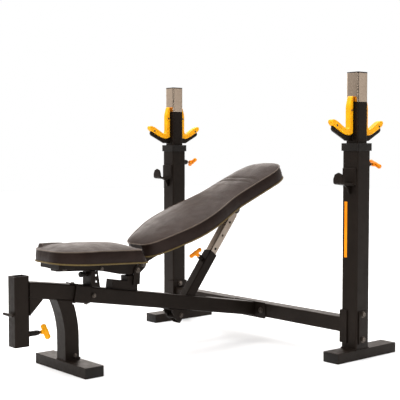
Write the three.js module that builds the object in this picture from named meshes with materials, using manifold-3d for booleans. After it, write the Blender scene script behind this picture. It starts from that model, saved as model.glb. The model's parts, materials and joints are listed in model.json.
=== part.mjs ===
// Olympic bench press: an adjustable bench on a sloping rail, with two telescopic bar uprights.
// Millimetres. +X runs along the bench from its foot end to the uprights, +Y is the left side, +Z is up.
// Lengths along X are measured from the uprights; the whole group is moved at the end, so that its
// origin lies on the floor under the middle of the bench.
import * as THREE from 'three';
import { mergeVertices } from 'three/addons/utils/BufferGeometryUtils.js';
import Module from 'manifold-3d';

const wasm = await Module();
wasm.setup();

// ---------------------------------------------------------------- driving dimensions

const GAP = 0.3; // air between neighbouring pieces
const ROUND = 12; // sides of a round bar or hole
const ARC = 2; // steps of a small corner, doubled by the curve classes
const FINE_ARC = 4; // steps of a larger arc
const SIDES = [['left', 1], ['right', -1]];

const TUBE = 60; // square tube of the bench frame
const WALL = 3;
const HALF = TUBE / 2;

const UPRIGHT = 76.2; // square tube of the uprights, a 3 inch size
const UPRIGHT_WALL = 6;
const UPRIGHT_Y = 570;
const UPRIGHT_TOP = 843;
const UPRIGHT_FACE = UPRIGHT / 2;

const POST = 59.3; // square tube that slides in the upright
const POST_BOTTOM = 430;
const POST_HEAD_BOTTOM = 1012;
const POST_TOP = 1128;
const POST_CAP = 4;

const FOOT_HEIGHT = 40;
const FOOT_WIDTH = 75;
const FOOT_FRONT_X = -143;
const FOOT_REAR_X = 210;
const FRONT_FOOT_X = -971;
const FRONT_FOOT_LENGTH = 80;
const FRONT_FOOT_SPREAD = 346;

const CROSSBAR_Z = 130.5;
const BRACKET_PLATE = 5;

const JOINT_X = -957; // the rail bolts to the front stand here
const JOINT_Z = 289.2;

const RECEIVER_FRONT_X = -1209;
const RECEIVER_REAR_X = -1150;
const RECEIVER_BOTTOM = 116;
const RECEIVER_TOP = 372;
const RECEIVER_PIN_Z = 156;
const HOOK_ROD = 11;
const HOOK_ROD_X = RECEIVER_FRONT_X - 15;

const BACK_HINGE = [-641, 373];
const BACK_TILT = THREE.MathUtils.degToRad(23);
const SEAT_HINGE = [-668, 352];
const SEAT_TILT = THREE.MathUtils.degToRad(2.45);
const SEAT_EDGE = [-744, 401]; // a point of the seat pad's underside

const STRUT_PIVOT = [-448, 149];
const STRUT_TOP = [-130.3, 566];
const STRUT_OUTER = 44;
const STRUT_INNER = 35;
const STRUT_OUTER_TAIL = 27; // outer tube below its pivot
const STRUT_OUTER_MOUTH = 305; // pivot to the open end
const STRUT_INNER_LENGTH = 395;
const STRUT_HOLE_PITCH = 68;
const STRUT_FIRST_HOLE = 63;
const STRUT_HOLES = 5;

const PIN_RADIUS = 5;
const PIN_HOLE = 5.6;
const HANDLE_BAR = 62;

const POST_PIN_Z = 768;

// ---------------------------------------------------------------- solids and placing

function solid(geometry) {
  const plain = geometry.index ? geometry.toNonIndexed() : geometry;
  plain.deleteAttribute('normal');
  plain.deleteAttribute('uv');
  const merged = mergeVertices(plain, 1e-3);
  const vertProperties = new Float32Array(merged.attributes.position.array);
  const triVerts = new Uint32Array(merged.index.array);
  return new wasm.Manifold(new wasm.Mesh({ numProp: 3, vertProperties, triVerts }));
}

function union(...solids) {
  return solids.reduce((whole, next) => whole.add(next));
}

function cut(body, ...tools) {
  return tools.reduce((left, tool) => left.subtract(tool), body);
}

function basis(x, y, z, origin = [0, 0, 0]) {
  const matrix = new THREE.Matrix4().makeBasis(...[x, y, z].map((v) => new THREE.Vector3(...v)));
  return matrix.setPosition(...origin);
}

// A place in the side view: x and z there become a point and directions in space.
function sidePlace([x, z], tilt) {
  const along = [Math.cos(tilt), 0, Math.sin(tilt)];
  const up = [-Math.sin(tilt), 0, Math.cos(tilt)];
  return basis(along, [0, 1, 0], up, [x, 0, z]);
}

function extruded(shape, depth, matrix, options = {}) {
  const settings = { depth, bevelEnabled: false, curveSegments: ARC, ...options };
  return solid(new THREE.ExtrudeGeometry(shape, settings).applyMatrix4(matrix));
}

// Shapes drawn in (X, Z), (Y, Z) and (X, Y), carried along the third axis.
function fromSide(shape, y0, y1, place = new THREE.Matrix4(), options = {}) {
  const turned = basis([1, 0, 0], [0, 0, 1], [0, -1, 0], [0, y1, 0]);
  return extruded(shape, y1 - y0, turned.premultiply(place), options);
}

function fromFront(shape, x0, x1, place = new THREE.Matrix4()) {
  const turned = basis([0, 1, 0], [0, 0, 1], [1, 0, 0], [x0, 0, 0]);
  return extruded(shape, x1 - x0, turned.premultiply(place));
}

function fromAbove(shape, z0, z1, place = new THREE.Matrix4(), options = {}) {
  const lifted = new THREE.Matrix4().makeTranslation(0, 0, z0);
  return extruded(shape, z1 - z0, lifted.premultiply(place), options);
}

function block([x0, x1], [y0, y1], [z0, z1], place = new THREE.Matrix4()) {
  const geometry = new THREE.BoxGeometry(x1 - x0, y1 - y0, z1 - z0);
  geometry.translate((x0 + x1) / 2, (y0 + y1) / 2, (z0 + z1) / 2);
  return solid(geometry.applyMatrix4(place));
}

function polygon(points) {
  return new THREE.Shape(points.map(([x, y]) => new THREE.Vector2(x, y)));
}

function roundedRectangle(width, height, radius, [cx, cy] = [0, 0]) {
  const shape = new THREE.Shape();
  const w = width / 2 - radius;
  const h = height / 2 - radius;
  shape.absarc(cx + w, cy + h, radius, 0, Math.PI / 2);
  shape.absarc(cx - w, cy + h, radius, Math.PI / 2, Math.PI);
  shape.absarc(cx - w, cy - h, radius, Math.PI, 1.5 * Math.PI);
  shape.absarc(cx + w, cy - h, radius, 1.5 * Math.PI, 2 * Math.PI);
  return shape;
}

// A link's outline: two round ends joined by straight sides.
function linkShape([x0, z0], [x1, z1], radius) {
  const angle = Math.atan2(z1 - z0, x1 - x0);
  const shape = new THREE.Shape();
  shape.absarc(x1, z1, radius, angle - Math.PI / 2, angle + Math.PI / 2);
  shape.absarc(x0, z0, radius, angle + Math.PI / 2, angle + 1.5 * Math.PI);
  return shape;
}

// A round bar between two points, or a prism when it has few sides.
function rod(from, to, radius, sides = ROUND) {
  const start = new THREE.Vector3(...from);
  const end = new THREE.Vector3(...to);
  const geometry = new THREE.CylinderGeometry(radius, radius, start.distanceTo(end), sides);
  const turn = new THREE.Quaternion();
  turn.setFromUnitVectors(new THREE.Vector3(0, 1, 0), end.clone().sub(start).normalize());
  geometry.applyQuaternion(turn);
  const middle = start.clone().add(end).multiplyScalar(0.5);
  return solid(geometry.translate(middle.x, middle.y, middle.z));
}

function ball(centre, radius) {
  return solid(new THREE.SphereGeometry(radius, ROUND, ROUND / 2).translate(...centre));
}

// Hollow tube along +X of its place: width across Y, height across Z.
function tubeAlong(place, x0, x1, width, height, wall, radius = 6) {
  const outer = fromFront(roundedRectangle(width, height, radius), x0, x1, place);
  const bore = roundedRectangle(width - 2 * wall, height - 2 * wall, Math.max(radius - wall, 1));
  return outer.subtract(fromFront(bore, x0 - 1, x1 + 1, place));
}

function standingTube([x, y], z0, z1, width, depth, wall, radius = 6) {
  const centre = [x, y];
  const outer = fromAbove(roundedRectangle(width, depth, radius, centre), z0, z1);
  const inner = roundedRectangle(width - 2 * wall, depth - 2 * wall, Math.max(radius - wall, 1), centre);
  return outer.subtract(fromAbove(inner, z0 - 1, z1 + 1));
}

// A spring pin with a T-bar: tip and direction of its axis, and the way its bar points.
function pullPin(tip, direction, bar, shaftLength, barRadius = 7) {
  const start = new THREE.Vector3(...tip);
  const axis = new THREE.Vector3(...direction).normalize();
  const across = new THREE.Vector3(...bar).normalize();
  const centre = start.clone().addScaledVector(axis, shaftLength);
  const reach = HANDLE_BAR / 2;
  const end = centre.clone().addScaledVector(across, reach);
  const other = centre.clone().addScaledVector(across, -reach);
  const collarStart = centre.clone().addScaledVector(axis, -14);
  return union(
    rod(tip, centre.toArray(), PIN_RADIUS),
    rod(collarStart.toArray(), centre.toArray(), 8),
    rod(other.toArray(), end.toArray(), barRadius),
  );
}

function sleeve(from, to, outerRadius, holeRadius) {
  const axis = new THREE.Vector3(...to).sub(new THREE.Vector3(...from)).normalize();
  const before = new THREE.Vector3(...from).sub(axis).toArray();
  const after = new THREE.Vector3(...to).add(axis).toArray();
  return rod(from, to, outerRadius).subtract(rod(before, after, holeRadius));
}

// A bolt along Y with a hex head on one side and a nut on the other.
function crossBolt([x, z], radius, headFace, headRadius, headHeight) {
  const end = headFace + headHeight;
  return union(
    rod([x, -end, z], [x, end, z], radius),
    rod([x, headFace, z], [x, end, z], headRadius, 6),
    rod([x, -end, z], [x, -headFace, z], headRadius, 6),
  );
}

// ---------------------------------------------------------------- materials

const paint = new THREE.MeshStandardMaterial({ color: 0x26221f, roughness: 0.45, metalness: 0.3 });
const chrome = new THREE.MeshStandardMaterial({ color: 0xb8afa6, roughness: 0.15, metalness: 1 });
const amber = new THREE.MeshStandardMaterial({ color: 0xffa800, roughness: 0.35, metalness: 0 });
const plastic = new THREE.MeshStandardMaterial({ color: 0x191716, roughness: 0.5, metalness: 0 });
const vinyl = new THREE.MeshStandardMaterial({ color: 0x2b2421, roughness: 0.4, metalness: 0 });
const plywood = new THREE.MeshStandardMaterial({ color: 0x4a3b2a, roughness: 0.8, metalness: 0 });
const zinc = new THREE.MeshStandardMaterial({ color: 0x8d8780, roughness: 0.35, metalness: 1 });

const bench = new THREE.Group();

function piece(name, shape, material) {
  const mesh = shape.getMesh();
  const geometry = new THREE.BufferGeometry();
  geometry.setAttribute('position', new THREE.BufferAttribute(mesh.vertProperties, 3));
  geometry.setIndex(new THREE.BufferAttribute(mesh.triVerts, 1));
  geometry.computeVertexNormals();
  const part = new THREE.Mesh(geometry, material);
  part.name = name;
  bench.add(part);
}

// ---------------------------------------------------------------- bench rail

const railTilt = Math.atan2(CROSSBAR_Z - JOINT_Z, -HALF - JOINT_X);
const rail = sidePlace([JOINT_X, JOINT_Z], railTilt); // its origin is the joint, its x runs down the rail
const RAIL_REAR_X = -HALF - GAP - BRACKET_PLATE - GAP;
const railEnvelope = block([-5, 900], [-HALF - GAP, HALF + GAP], [-HALF - GAP, HALF + GAP], rail);
const SLEEVE = 66; // length and wall of the sleeve around the rail's front end
const SLEEVE_WALL = 4;
const sleeveHalf = HALF + SLEEVE_WALL + 2 * GAP;
const sleeveEnvelope = block([-5, SLEEVE + GAP], [-sleeveHalf, sleeveHalf], [-sleeveHalf, sleeveHalf], rail);

function alongRail(x) {
  return (x - JOINT_X) / Math.cos(railTilt);
}

function mainRail() {
  const SLOT_WIDTH = 47;
  const slotY = [-SLOT_WIDTH / 2, SLOT_WIDTH / 2];
  const topSlot = [alongRail(-485), alongRail(-280)];
  const bottomSlot = [alongRail(-505), alongRail(-345)];
  const tube = tubeAlong(rail, GAP, 960, TUBE, TUBE, WALL);
  return cut(
    tube,
    block([RAIL_REAR_X, 200], [-HALF - 5, HALF + 5], [0, 300]),
    block(topSlot, slotY, [HALF - WALL - 4, HALF + 4], rail),
    block(bottomSlot, slotY, [-HALF - 4, -HALF + WALL + 4], rail),
  );
}

// A flat plate and a sleeve that the rail's end fits into.
function jointSocket() {
  const PLATE = 6;
  const plate = fromFront(roundedRectangle(76, 72, 4), -PLATE, 0, rail);
  const size = TUBE + 2 * (GAP + SLEEVE_WALL);
  const ring = tubeAlong(rail, -1, SLEEVE, size, size, SLEEVE_WALL, 7);
  return union(plate, ring);
}

// A plate between the rail's rear end and the crossbar.
function railRearBracket() {
  const WIDTH = 196;
  const outline = roundedRectangle(WIDTH, 70, 8, [0, CROSSBAR_Z - 1]);
  return fromFront(outline, -HALF - GAP - BRACKET_PLATE, -HALF - GAP);
}

piece('main_rail', mainRail(), paint);
piece('joint_socket', jointSocket(), paint);
piece('rail_rear_bracket', railRearBracket(), paint);

// ---------------------------------------------------------------- front stand

const ARM_TILT = THREE.MathUtils.degToRad(-8.1);
const arm = sidePlace([RECEIVER_REAR_X, 319.5], ARM_TILT);
const armEnvelope = block([-20, 240], [-HALF - 5, HALF + 5], [-HALF - GAP, HALF + GAP + 20], arm);

function frontArm() {
  const JOINT_PLATE = 6 + GAP;
  const tube = tubeAlong(arm, -20, 240, TUBE, TUBE, WALL);
  const gusset = fromSide(polygon([
    [-1160, 220], [-1148, 228], [-1096, 280], [-1096, 284], [-1160, 291],
  ]), -HALF + 2, HALF - 2);
  return cut(
    union(tube, gusset),
    block([-1300, RECEIVER_REAR_X + GAP], [-50, 50], [150, 420]),
    block([-JOINT_PLATE, 200], [-50, 50], [-200, 200], rail),
  );
}

// Square tube, straight up from the foot and then bent towards the foot end under the arm.
function frontLeg() {
  const BEND_START = 120;
  const BEND_RADIUS = 380;
  const BEND = THREE.MathUtils.degToRad(26);
  const centreX = FRONT_FOOT_X - 2.5;
  const bottom = FOOT_HEIGHT + GAP;

  function outline(inset) {
    const shape = new THREE.Shape();
    const half = HALF - inset;
    const base = inset ? bottom - 1 : bottom;
    const bend = inset ? BEND + 0.02 : BEND;
    const hub = centreX - BEND_RADIUS;
    shape.moveTo(centreX - half, base);
    shape.lineTo(centreX + half, base);
    shape.absarc(hub, BEND_START, BEND_RADIUS + half, 0, bend);
    shape.absarc(hub, BEND_START, BEND_RADIUS - half, bend, 0, true);
    return shape;
  }

  const fine = { curveSegments: FINE_ARC };
  const outer = fromSide(outline(0), -HALF, HALF, undefined, fine);
  const bore = fromSide(outline(WALL), -HALF + WALL, HALF - WALL, undefined, fine);
  return cut(outer, bore, armEnvelope, block([-7, 100], [-50, 50], [-40, 200], rail));
}

function legFootBracket() {
  const faceX = FRONT_FOOT_X - 2.5 + HALF + GAP;
  const PLATE = 5;
  const top = FOOT_HEIGHT + GAP;
  const profile = polygon([
    [faceX, top], [-932, top], [-932, top + PLATE],
    [faceX + PLATE, top + PLATE], [faceX + PLATE, top + 32], [faceX, top + 32],
  ]);
  return fromSide(profile, -22, 22);
}

// A foot is a bar, hollowed from below between its two solid ends.
function foot([x0, x1], [y0, y1]) {
  const SOLID_END = 50;
  const insetX = x1 - x0 > y1 - y0 ? SOLID_END : WALL;
  const insetY = x1 - x0 > y1 - y0 ? WALL : SOLID_END;
  const outer = block([x0, x1], [y0, y1], [0, FOOT_HEIGHT]);
  const inner = block([x0 + insetX, x1 - insetX], [y0 + insetY, y1 - insetY], [-1, FOOT_HEIGHT - WALL]);
  return outer.subtract(inner);
}

function receiverTube() {
  const length = RECEIVER_REAR_X - RECEIVER_FRONT_X;
  const centre = [(RECEIVER_REAR_X + RECEIVER_FRONT_X) / 2, 0];
  const tube = standingTube(centre, RECEIVER_BOTTOM, RECEIVER_TOP, length, 52, 4, 5);
  const pinAt = (x) => [x, 0, RECEIVER_PIN_Z];
  return tube.subtract(rod(pinAt(RECEIVER_REAR_X - 8), pinAt(RECEIVER_REAR_X + 2), PIN_HOLE));
}

// Round rod with its short leg on the receiver's face and its long leg lying across it.
function accessoryHook() {
  const z = 236;
  const LEFT_END = 27;
  const RIGHT_END = -36;
  const radius = HOOK_ROD / 2;
  const face = RECEIVER_FRONT_X - GAP;
  return union(
    rod([face, -14, z], [HOOK_ROD_X, -14, z], radius, 12),
    rod([HOOK_ROD_X, RIGHT_END, z], [HOOK_ROD_X, LEFT_END, z], radius, 12),
    ball([HOOK_ROD_X, LEFT_END, z], radius),
    ball([HOOK_ROD_X, RIGHT_END, z], radius),
  );
}

const frontFootX = [FRONT_FOOT_X - FRONT_FOOT_LENGTH / 2, FRONT_FOOT_X + FRONT_FOOT_LENGTH / 2];
piece('front_foot', foot(frontFootX, [-FRONT_FOOT_SPREAD / 2, FRONT_FOOT_SPREAD / 2]), paint);
piece('front_leg', frontLeg(), paint);
piece('leg_foot_bracket', legFootBracket(), paint);
piece('front_arm', frontArm(), paint);
piece('receiver_tube', receiverTube(), paint);
piece('accessory_hook', accessoryHook(), paint);

const receiverFace = RECEIVER_REAR_X + GAP;
piece('receiver_pin_housing', sleeve(
  [receiverFace, 0, RECEIVER_PIN_Z], [receiverFace + 54, 0, RECEIVER_PIN_Z], 10, PIN_HOLE,
), plastic);
piece('receiver_pin', pullPin(
  [RECEIVER_REAR_X - 3.5, 0, RECEIVER_PIN_Z], [1, 0, 0], [0, -40, -46], 84,
), amber);

// ---------------------------------------------------------------- crossbar and uprights

const bracketFaceY = UPRIGHT_Y - UPRIGHT_FACE - GAP; // inner face of the brackets' web touches here
const crossbarEnd = bracketFaceY - BRACKET_PLATE - GAP;

piece('crossbar', tubeAlong(
  basis([0, 1, 0], [-1, 0, 0], [0, 0, 1], [0, 0, CROSSBAR_Z]), -crossbarEnd, crossbarEnd, TUBE, TUBE, WALL,
), paint);

// A channel that wraps the upright's inner face and part of its front and rear faces.
function crossbarBracket(side) {
  const BRACKET_Z = [63, 193];
  const FLANGE_Y = 563;
  const inner = bracketFaceY - BRACKET_PLATE;
  const outerX = UPRIGHT_FACE + GAP + BRACKET_PLATE;
  const order = (a, b) => [Math.min(side * a, side * b), Math.max(side * a, side * b)];
  const whole = block([-outerX, outerX], order(inner, FLANGE_Y), BRACKET_Z);
  const clearX = UPRIGHT_FACE + GAP;
  return whole.subtract(block([-clearX, clearX], order(bracketFaceY, FLANGE_Y + 5), [0, 300]));
}

function backingPlate(side) {
  const face = UPRIGHT_Y + UPRIGHT_FACE + GAP;
  const near = Math.min(side * face, side * (face + BRACKET_PLATE));
  return block([-26, 24], [near, near + BRACKET_PLATE], [62, 191]);
}

function upright(side) {
  const y = side * UPRIGHT_Y;
  const tube = standingTube([0, y], FOOT_HEIGHT + GAP, UPRIGHT_TOP, UPRIGHT, UPRIGHT, UPRIGHT_WALL);
  return tube.subtract(rod([20, y, POST_PIN_Z], [UPRIGHT_FACE + 5, y, POST_PIN_Z], PIN_HOLE));
}

// A moulded bush: it caps the upright's top and guides the post.
function collar(side) {
  const y = side * UPRIGHT_Y;
  const SIZE = 88;
  const outer = fromAbove(roundedRectangle(SIZE, SIZE, 8, [0, y]), 821, 851);
  const room = UPRIGHT_FACE + GAP;
  const guide = POST / 2 + 0.6;
  return cut(
    outer,
    block([-room, room], [y - room, y + room], [800, UPRIGHT_TOP + GAP]),
    block([-guide, guide], [y - guide, y + guide], [800, 900]),
  );
}

// Bar catch on the upright's front: a plate folded into a shelf and a tongue with a rounded top,
// on a base plate and a curved gusset.
function safetyCatch(side) {
  const y = side * UPRIGHT_Y;
  const face = -UPRIGHT_FACE - GAP;
  const HALF_WIDTH = 25;
  const TONGUE_TOP = 737;
  const profile = polygon([
    [face, 684], [-98, 690], [-106, 693], [-109, 700], [-109, TONGUE_TOP],
    [-101, TONGUE_TOP], [-101, 704], [-97, 699], [face, 693],
  ]);
  const outline = new THREE.Shape();
  outline.moveTo(y - HALF_WIDTH, 640);
  outline.lineTo(y + HALF_WIDTH, 640);
  outline.absarc(y, TONGUE_TOP - HALF_WIDTH, HALF_WIDTH, 0, Math.PI);
  const folded = fromSide(profile, y - HALF_WIDTH, y + HALF_WIDTH);
  const trimmed = folded.intersect(fromFront(outline, -120, 0));
  const base = block([face - 8, face], [y - 32, y + 32], [688, 754]);
  const gusset = new THREE.Shape();
  gusset.moveTo(face, 690);
  gusset.lineTo(-80, 690);
  gusset.quadraticCurveTo(-50, 684, -46, 652);
  gusset.lineTo(face, 652);
  return union(trimmed, base, fromSide(gusset, y - 4, y + 4));
}

for (const [name, side] of SIDES) {
  const y = side * UPRIGHT_Y;
  const footY = [y - FOOT_WIDTH / 2, y + FOOT_WIDTH / 2];
  const housingEnds = [UPRIGHT_FACE + GAP, UPRIGHT_FACE + GAP + 42].map((x) => [x, y, POST_PIN_Z]);
  const barTilt = THREE.MathUtils.degToRad(side < 0 ? 24 : -30);
  piece(`${name}_foot`, foot([FOOT_FRONT_X, FOOT_REAR_X], footY), paint);
  piece(`${name}_upright`, upright(side), paint);
  piece(`${name}_crossbar_bracket`, crossbarBracket(side), paint);
  piece(`${name}_backing_plate`, backingPlate(side), paint);
  piece(`${name}_collar`, collar(side), plastic);
  piece(`${name}_safety_catch`, safetyCatch(side), paint);
  piece(`${name}_pin_housing`, sleeve(...housingEnds, 12, PIN_HOLE), plastic);
  piece(`${name}_post_pin`, pullPin(
    [POST / 2 + 1, y, POST_PIN_Z], [1, 0, 0], [0, Math.cos(barTilt), Math.sin(barTilt)], 85,
  ), amber);
}

// ---------------------------------------------------------------- sliding posts and bar hooks

// Hook outlines use the distance out from the post's centre. Past HOOK_ROOT the distance is scaled,
// so that the front hook reaches further than the rear one.
const HOOK_ROOT = 60;
const FRONT_REACH = 1;
const REAR_REACH = 0.93;
const LINER_BACK = 36;

function hookPoint([out, z], reach) {
  const stretched = out > HOOK_ROOT ? HOOK_ROOT + (out - HOOK_ROOT) * reach : out;
  return [stretched, z];
}

// Outline of the liner that the bar rests on: a rising arm with a round tip, a valley and a tall strip.
function hookLiner(reach) {
  const at = (out, z) => hookPoint([out, z], reach);
  const underside = [[73, 884], [95, 892], [116, 902], [136, 912]];
  const shape = new THREE.Shape();
  shape.moveTo(...at(LINER_BACK, 890));
  shape.quadraticCurveTo(...at(46, 883), ...at(58, 882));
  shape.splineThru(underside.map((p) => new THREE.Vector2(...at(...p))));
  shape.quadraticCurveTo(...at(154, 920), ...at(156, 930));
  shape.quadraticCurveTo(...at(156, 941), ...at(147, 941));
  shape.quadraticCurveTo(...at(138, 941), ...at(120, 932));
  shape.lineTo(...at(99, 920));
  shape.lineTo(...at(80, 909));
  shape.quadraticCurveTo(...at(56, 895), ...at(54, 920));
  shape.lineTo(...at(54, 988));
  shape.quadraticCurveTo(...at(53, 1003), ...at(47, 1018));
  shape.quadraticCurveTo(...at(44, 1034), ...at(LINER_BACK + 1, 1034));
  shape.lineTo(...at(LINER_BACK, 1030));
  return shape;
}

// Steel plate under the liner: it stands on edge, welded to the post, and stops short of the liner.
function hookPlate(reach, place) {
  const face = POST / 2 + GAP;
  const AIR = 0.5;
  const outline = polygon([
    [face, 860], [68, 860], hookPoint([143, 896], reach), hookPoint([149, 904], reach),
    hookPoint([146, 916], reach), hookPoint([117, 911], reach), hookPoint([95, 901], reach),
    hookPoint([78, 895], reach), [58, 892], [LINER_BACK + 3, 894], [LINER_BACK + 3, 1010], [face, 1010],
  ]);
  const liner = fromSide(hookLiner(reach), -10, 10, place, { curveSegments: FINE_ARC });
  const towardsPost = place.elements[0] * -AIR;
  return cut(
    fromSide(outline, -4, 4, place),
    liner,
    liner.translate(towardsPost, 0, 0),
    liner.translate(0, 0, -AIR),
    liner.translate(towardsPost, 0, -AIR),
  );
}

function outwards(y, direction) {
  return basis([direction, 0, 0], [0, direction, 0], [0, 0, 1], [0, y, 0]);
}

for (const [name, side] of SIDES) {
  const y = side * UPRIGHT_Y;
  const capTop = roundedRectangle(POST, POST, 6, [0, y]);
  const plugHalf = POST / 2 - WALL - 1.6;
  const PLUG_DEPTH = 16;
  piece(`${name}_post`, standingTube([0, y], POST_BOTTOM, POST_HEAD_BOTTOM - GAP, POST, POST, WALL), paint);
  piece(
    `${name}_post_head`,
    standingTube([0, y], POST_HEAD_BOTTOM, POST_TOP - POST_CAP - GAP, POST, POST, WALL),
    chrome,
  );
  piece(`${name}_post_cap`, union(
    fromAbove(capTop, POST_TOP - POST_CAP, POST_TOP),
    block(
      [-plugHalf, plugHalf], [y - plugHalf, y + plugHalf], [POST_TOP - POST_CAP - PLUG_DEPTH, POST_TOP - 1],
    ),
  ), plastic);
  for (const [end, direction, reach] of [['front', -1, FRONT_REACH], ['rear', 1, REAR_REACH]]) {
    const place = outwards(y, direction);
    piece(`${name}_${end}_hook`, hookPlate(reach, place), paint);
    const liner = fromSide(hookLiner(reach), -12.5, 12.5, place, { curveSegments: FINE_ARC });
    piece(`${name}_${end}_liner`, liner, amber);
  }
}

// ---------------------------------------------------------------- seat supports on the rail

// Channel that the seat's tongue slides in, with a threaded boss for the seat's pull pin.
const GUIDE_FRONT_X = -887;
const SEAT_PIN_Z = 354;

function seatGuide() {
  const HOLE_X = -864;
  const outer = fromSide(polygon([
    [GUIDE_FRONT_X, 270], [-841, 270], [-856, 366], [GUIDE_FRONT_X, 366],
  ]), -29, 29);
  const room = block([GUIDE_FRONT_X + 4, -830], [-25, 25], [260, 380]);
  const boss = rod([GUIDE_FRONT_X + 1, 0, SEAT_PIN_Z], [GUIDE_FRONT_X - 9, 0, SEAT_PIN_Z], 10);
  const pinHole = rod([GUIDE_FRONT_X + 9, 0, SEAT_PIN_Z], [GUIDE_FRONT_X - 20, 0, SEAT_PIN_Z], PIN_HOLE);
  const sideHoles = [349, 325].map((z) => rod([HOLE_X, -40, z], [HOLE_X, 40, z], 4.5, 12));
  return cut(union(outer.subtract(room), boss), pinHole, railEnvelope, sleeveEnvelope, ...sideHoles);
}

function seatPin() {
  const at = (out) => [GUIDE_FRONT_X - out, 0, SEAT_PIN_Z];
  return union(
    rod(at(-3), at(22), PIN_RADIUS),
    rod(at(12), at(20), 8),
    rod(at(19), at(34), 11),
  );
}

const POST_HALF_WIDTH = 22.2;

// Box post with a low block in front of it; both stand on the rail.
function rearPost() {
  const post = block([-714, -664], [-POST_HALF_WIDTH, POST_HALF_WIDTH], [230, 333]);
  const pocket = block(
    [-714 + WALL, -664 - WALL], [-POST_HALF_WIDTH + WALL, POST_HALF_WIDTH - WALL], [270, 340],
  );
  const foreX = [alongRail(-793), alongRail(-700)];
  const fore = block(foreX, [-POST_HALF_WIDTH, POST_HALF_WIDTH], [0, HALF + 35], rail);
  return cut(union(fore, post), pocket, railEnvelope);
}

// Two cheeks that carry the seat's and the backrest's hinge bolts, joined behind the post.
function hingeBracket() {
  const CHEEK = 6;
  const inner = POST_HALF_WIDTH + 0.4;
  const outer = inner + CHEEK;
  const cheek = (y0) => union(
    fromSide(polygon([[-690, 296], [-658, 296], [-655, 352], [-684, 352]]), y0, y0 + CHEEK),
    fromSide(linkShape(SEAT_HINGE, BACK_HINGE, 16), y0, y0 + CHEEK),
  );
  const bridge = block([-664 + GAP, -658], [-outer, outer], [297, 330]);
  const bores = [SEAT_HINGE, BACK_HINGE].map(([x, z]) => rod([x, -50, z], [x, 50, z], 6.4));
  return cut(union(cheek(inner), cheek(-outer), bridge), ...bores);
}

piece('seat_guide', seatGuide(), paint);
piece('seat_pin', seatPin(), plastic);
piece('rear_post', rearPost(), paint);
piece('hinge_bracket', hingeBracket(), paint);
piece('seat_hinge_bolt', crossBolt(SEAT_HINGE, 6, 28.9, 10, 8), zinc);
piece('back_hinge_bolt', crossBolt(BACK_HINGE, 6, 28.9, 10, 8), zinc);

// ---------------------------------------------------------------- seat

const seat = sidePlace(SEAT_EDGE, -SEAT_TILT); // its x runs rearwards along the pad's underside
const SEAT_FRONT = -326;
const SEAT_REAR = 56;
const SEAT_HALF_WIDTH = 145;
const SEAT_DEPTH = 45;
const SEAT_TAPER = 0.0533; // lost depth for each millimetre towards the rear
const PAD_ROUNDING = 9;
const BOARD = 12;
const BOARD_INSET = 7;

function seatOutline(inset) {
  const front = SEAT_FRONT + inset;
  const rear = SEAT_REAR - inset;
  const half = SEAT_HALF_WIDTH - inset;
  const frontRadius = 112 - inset;
  const rearRadius = 42 - inset;
  const shape = new THREE.Shape();
  shape.absarc(rear - rearRadius, half - rearRadius, rearRadius, 0, Math.PI / 2);
  shape.absarc(front + frontRadius, half - frontRadius, frontRadius, Math.PI / 2, Math.PI);
  shape.absarc(front + frontRadius, frontRadius - half, frontRadius, Math.PI, 1.5 * Math.PI);
  shape.absarc(rear - rearRadius, rearRadius - half, rearRadius, 1.5 * Math.PI, 2 * Math.PI);
  return shape;
}

// The pad is thicker at its front: heights grow along the seat after a plain extrusion.
function seatPad() {
  const geometry = new THREE.ExtrudeGeometry(seatOutline(PAD_ROUNDING), {
    depth: SEAT_DEPTH, curveSegments: FINE_ARC,
    bevelEnabled: true, bevelThickness: PAD_ROUNDING, bevelSize: PAD_ROUNDING, bevelSegments: 2,
  });
  const position = geometry.attributes.position;
  for (let i = 0; i < position.count; i += 1) {
    const taper = 1 - (SEAT_TAPER / SEAT_DEPTH) * position.getX(i);
    position.setZ(i, position.getZ(i) * taper);
  }
  const whole = solid(geometry.applyMatrix4(seat));
  const below = block([-400, 200], [-200, 200], [-60, 0], seat);
  const fine = { curveSegments: FINE_ARC };
  const room = fromAbove(seatOutline(BOARD_INSET - GAP), -10, BOARD + GAP, seat, fine);
  const rearSlope = fromSide(polygon([
    [SEAT_REAR + 4, 6], [SEAT_REAR + 4, 80], [SEAT_REAR - 46, 80], [SEAT_REAR - 46, 52],
  ]), -200, 200, seat);
  return cut(whole, below, room, rearSlope);
}

function seatBoard() {
  return fromAbove(seatOutline(BOARD_INSET), 0, BOARD, seat, { curveSegments: FINE_ARC });
}

// Folded channel under the board, with a cross strap, a hinge eye and a tongue that runs in the guide.
function seatCarrier() {
  const HALF_WIDTH = 22;
  const EYE = 15;
  const [hingeX, hingeZ] = SEAT_HINGE;
  const beneath = polygon([
    [-1034, 376], [-861, 366], [-829, 361], [-750, 343], [-690, 337], [hingeX, 340],
    [-655, 352], [-664, 372], [-684, 410], [-1034, 430],
  ]);
  const eye = fromSide(linkShape(SEAT_HINGE, [hingeX - 20, hingeZ + 5], EYE), -HALF_WIDTH, HALF_WIDTH);
  const strap = block([-306, -240], [-66, 66], [-26, -GAP], seat);
  const hollow = block([-280, -20], [-HALF_WIDTH + 4, HALF_WIDTH - 4], [-22, 5], seat);
  const above = block([-400, 100], [-200, 200], [-GAP, 80], seat);
  const body = union(fromSide(beneath, -HALF_WIDTH, HALF_WIDTH), eye, strap);
  const frameRoom = rod([BACK_HINGE[0], -60, BACK_HINGE[1]], [BACK_HINGE[0], 60, BACK_HINGE[1]], 17.5, 24);
  const bore = rod([hingeX, -60, hingeZ], [hingeX, 60, hingeZ], 6.4);
  return union(cut(body, above, hollow, frameRoom, bore), tongue());
}

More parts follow.
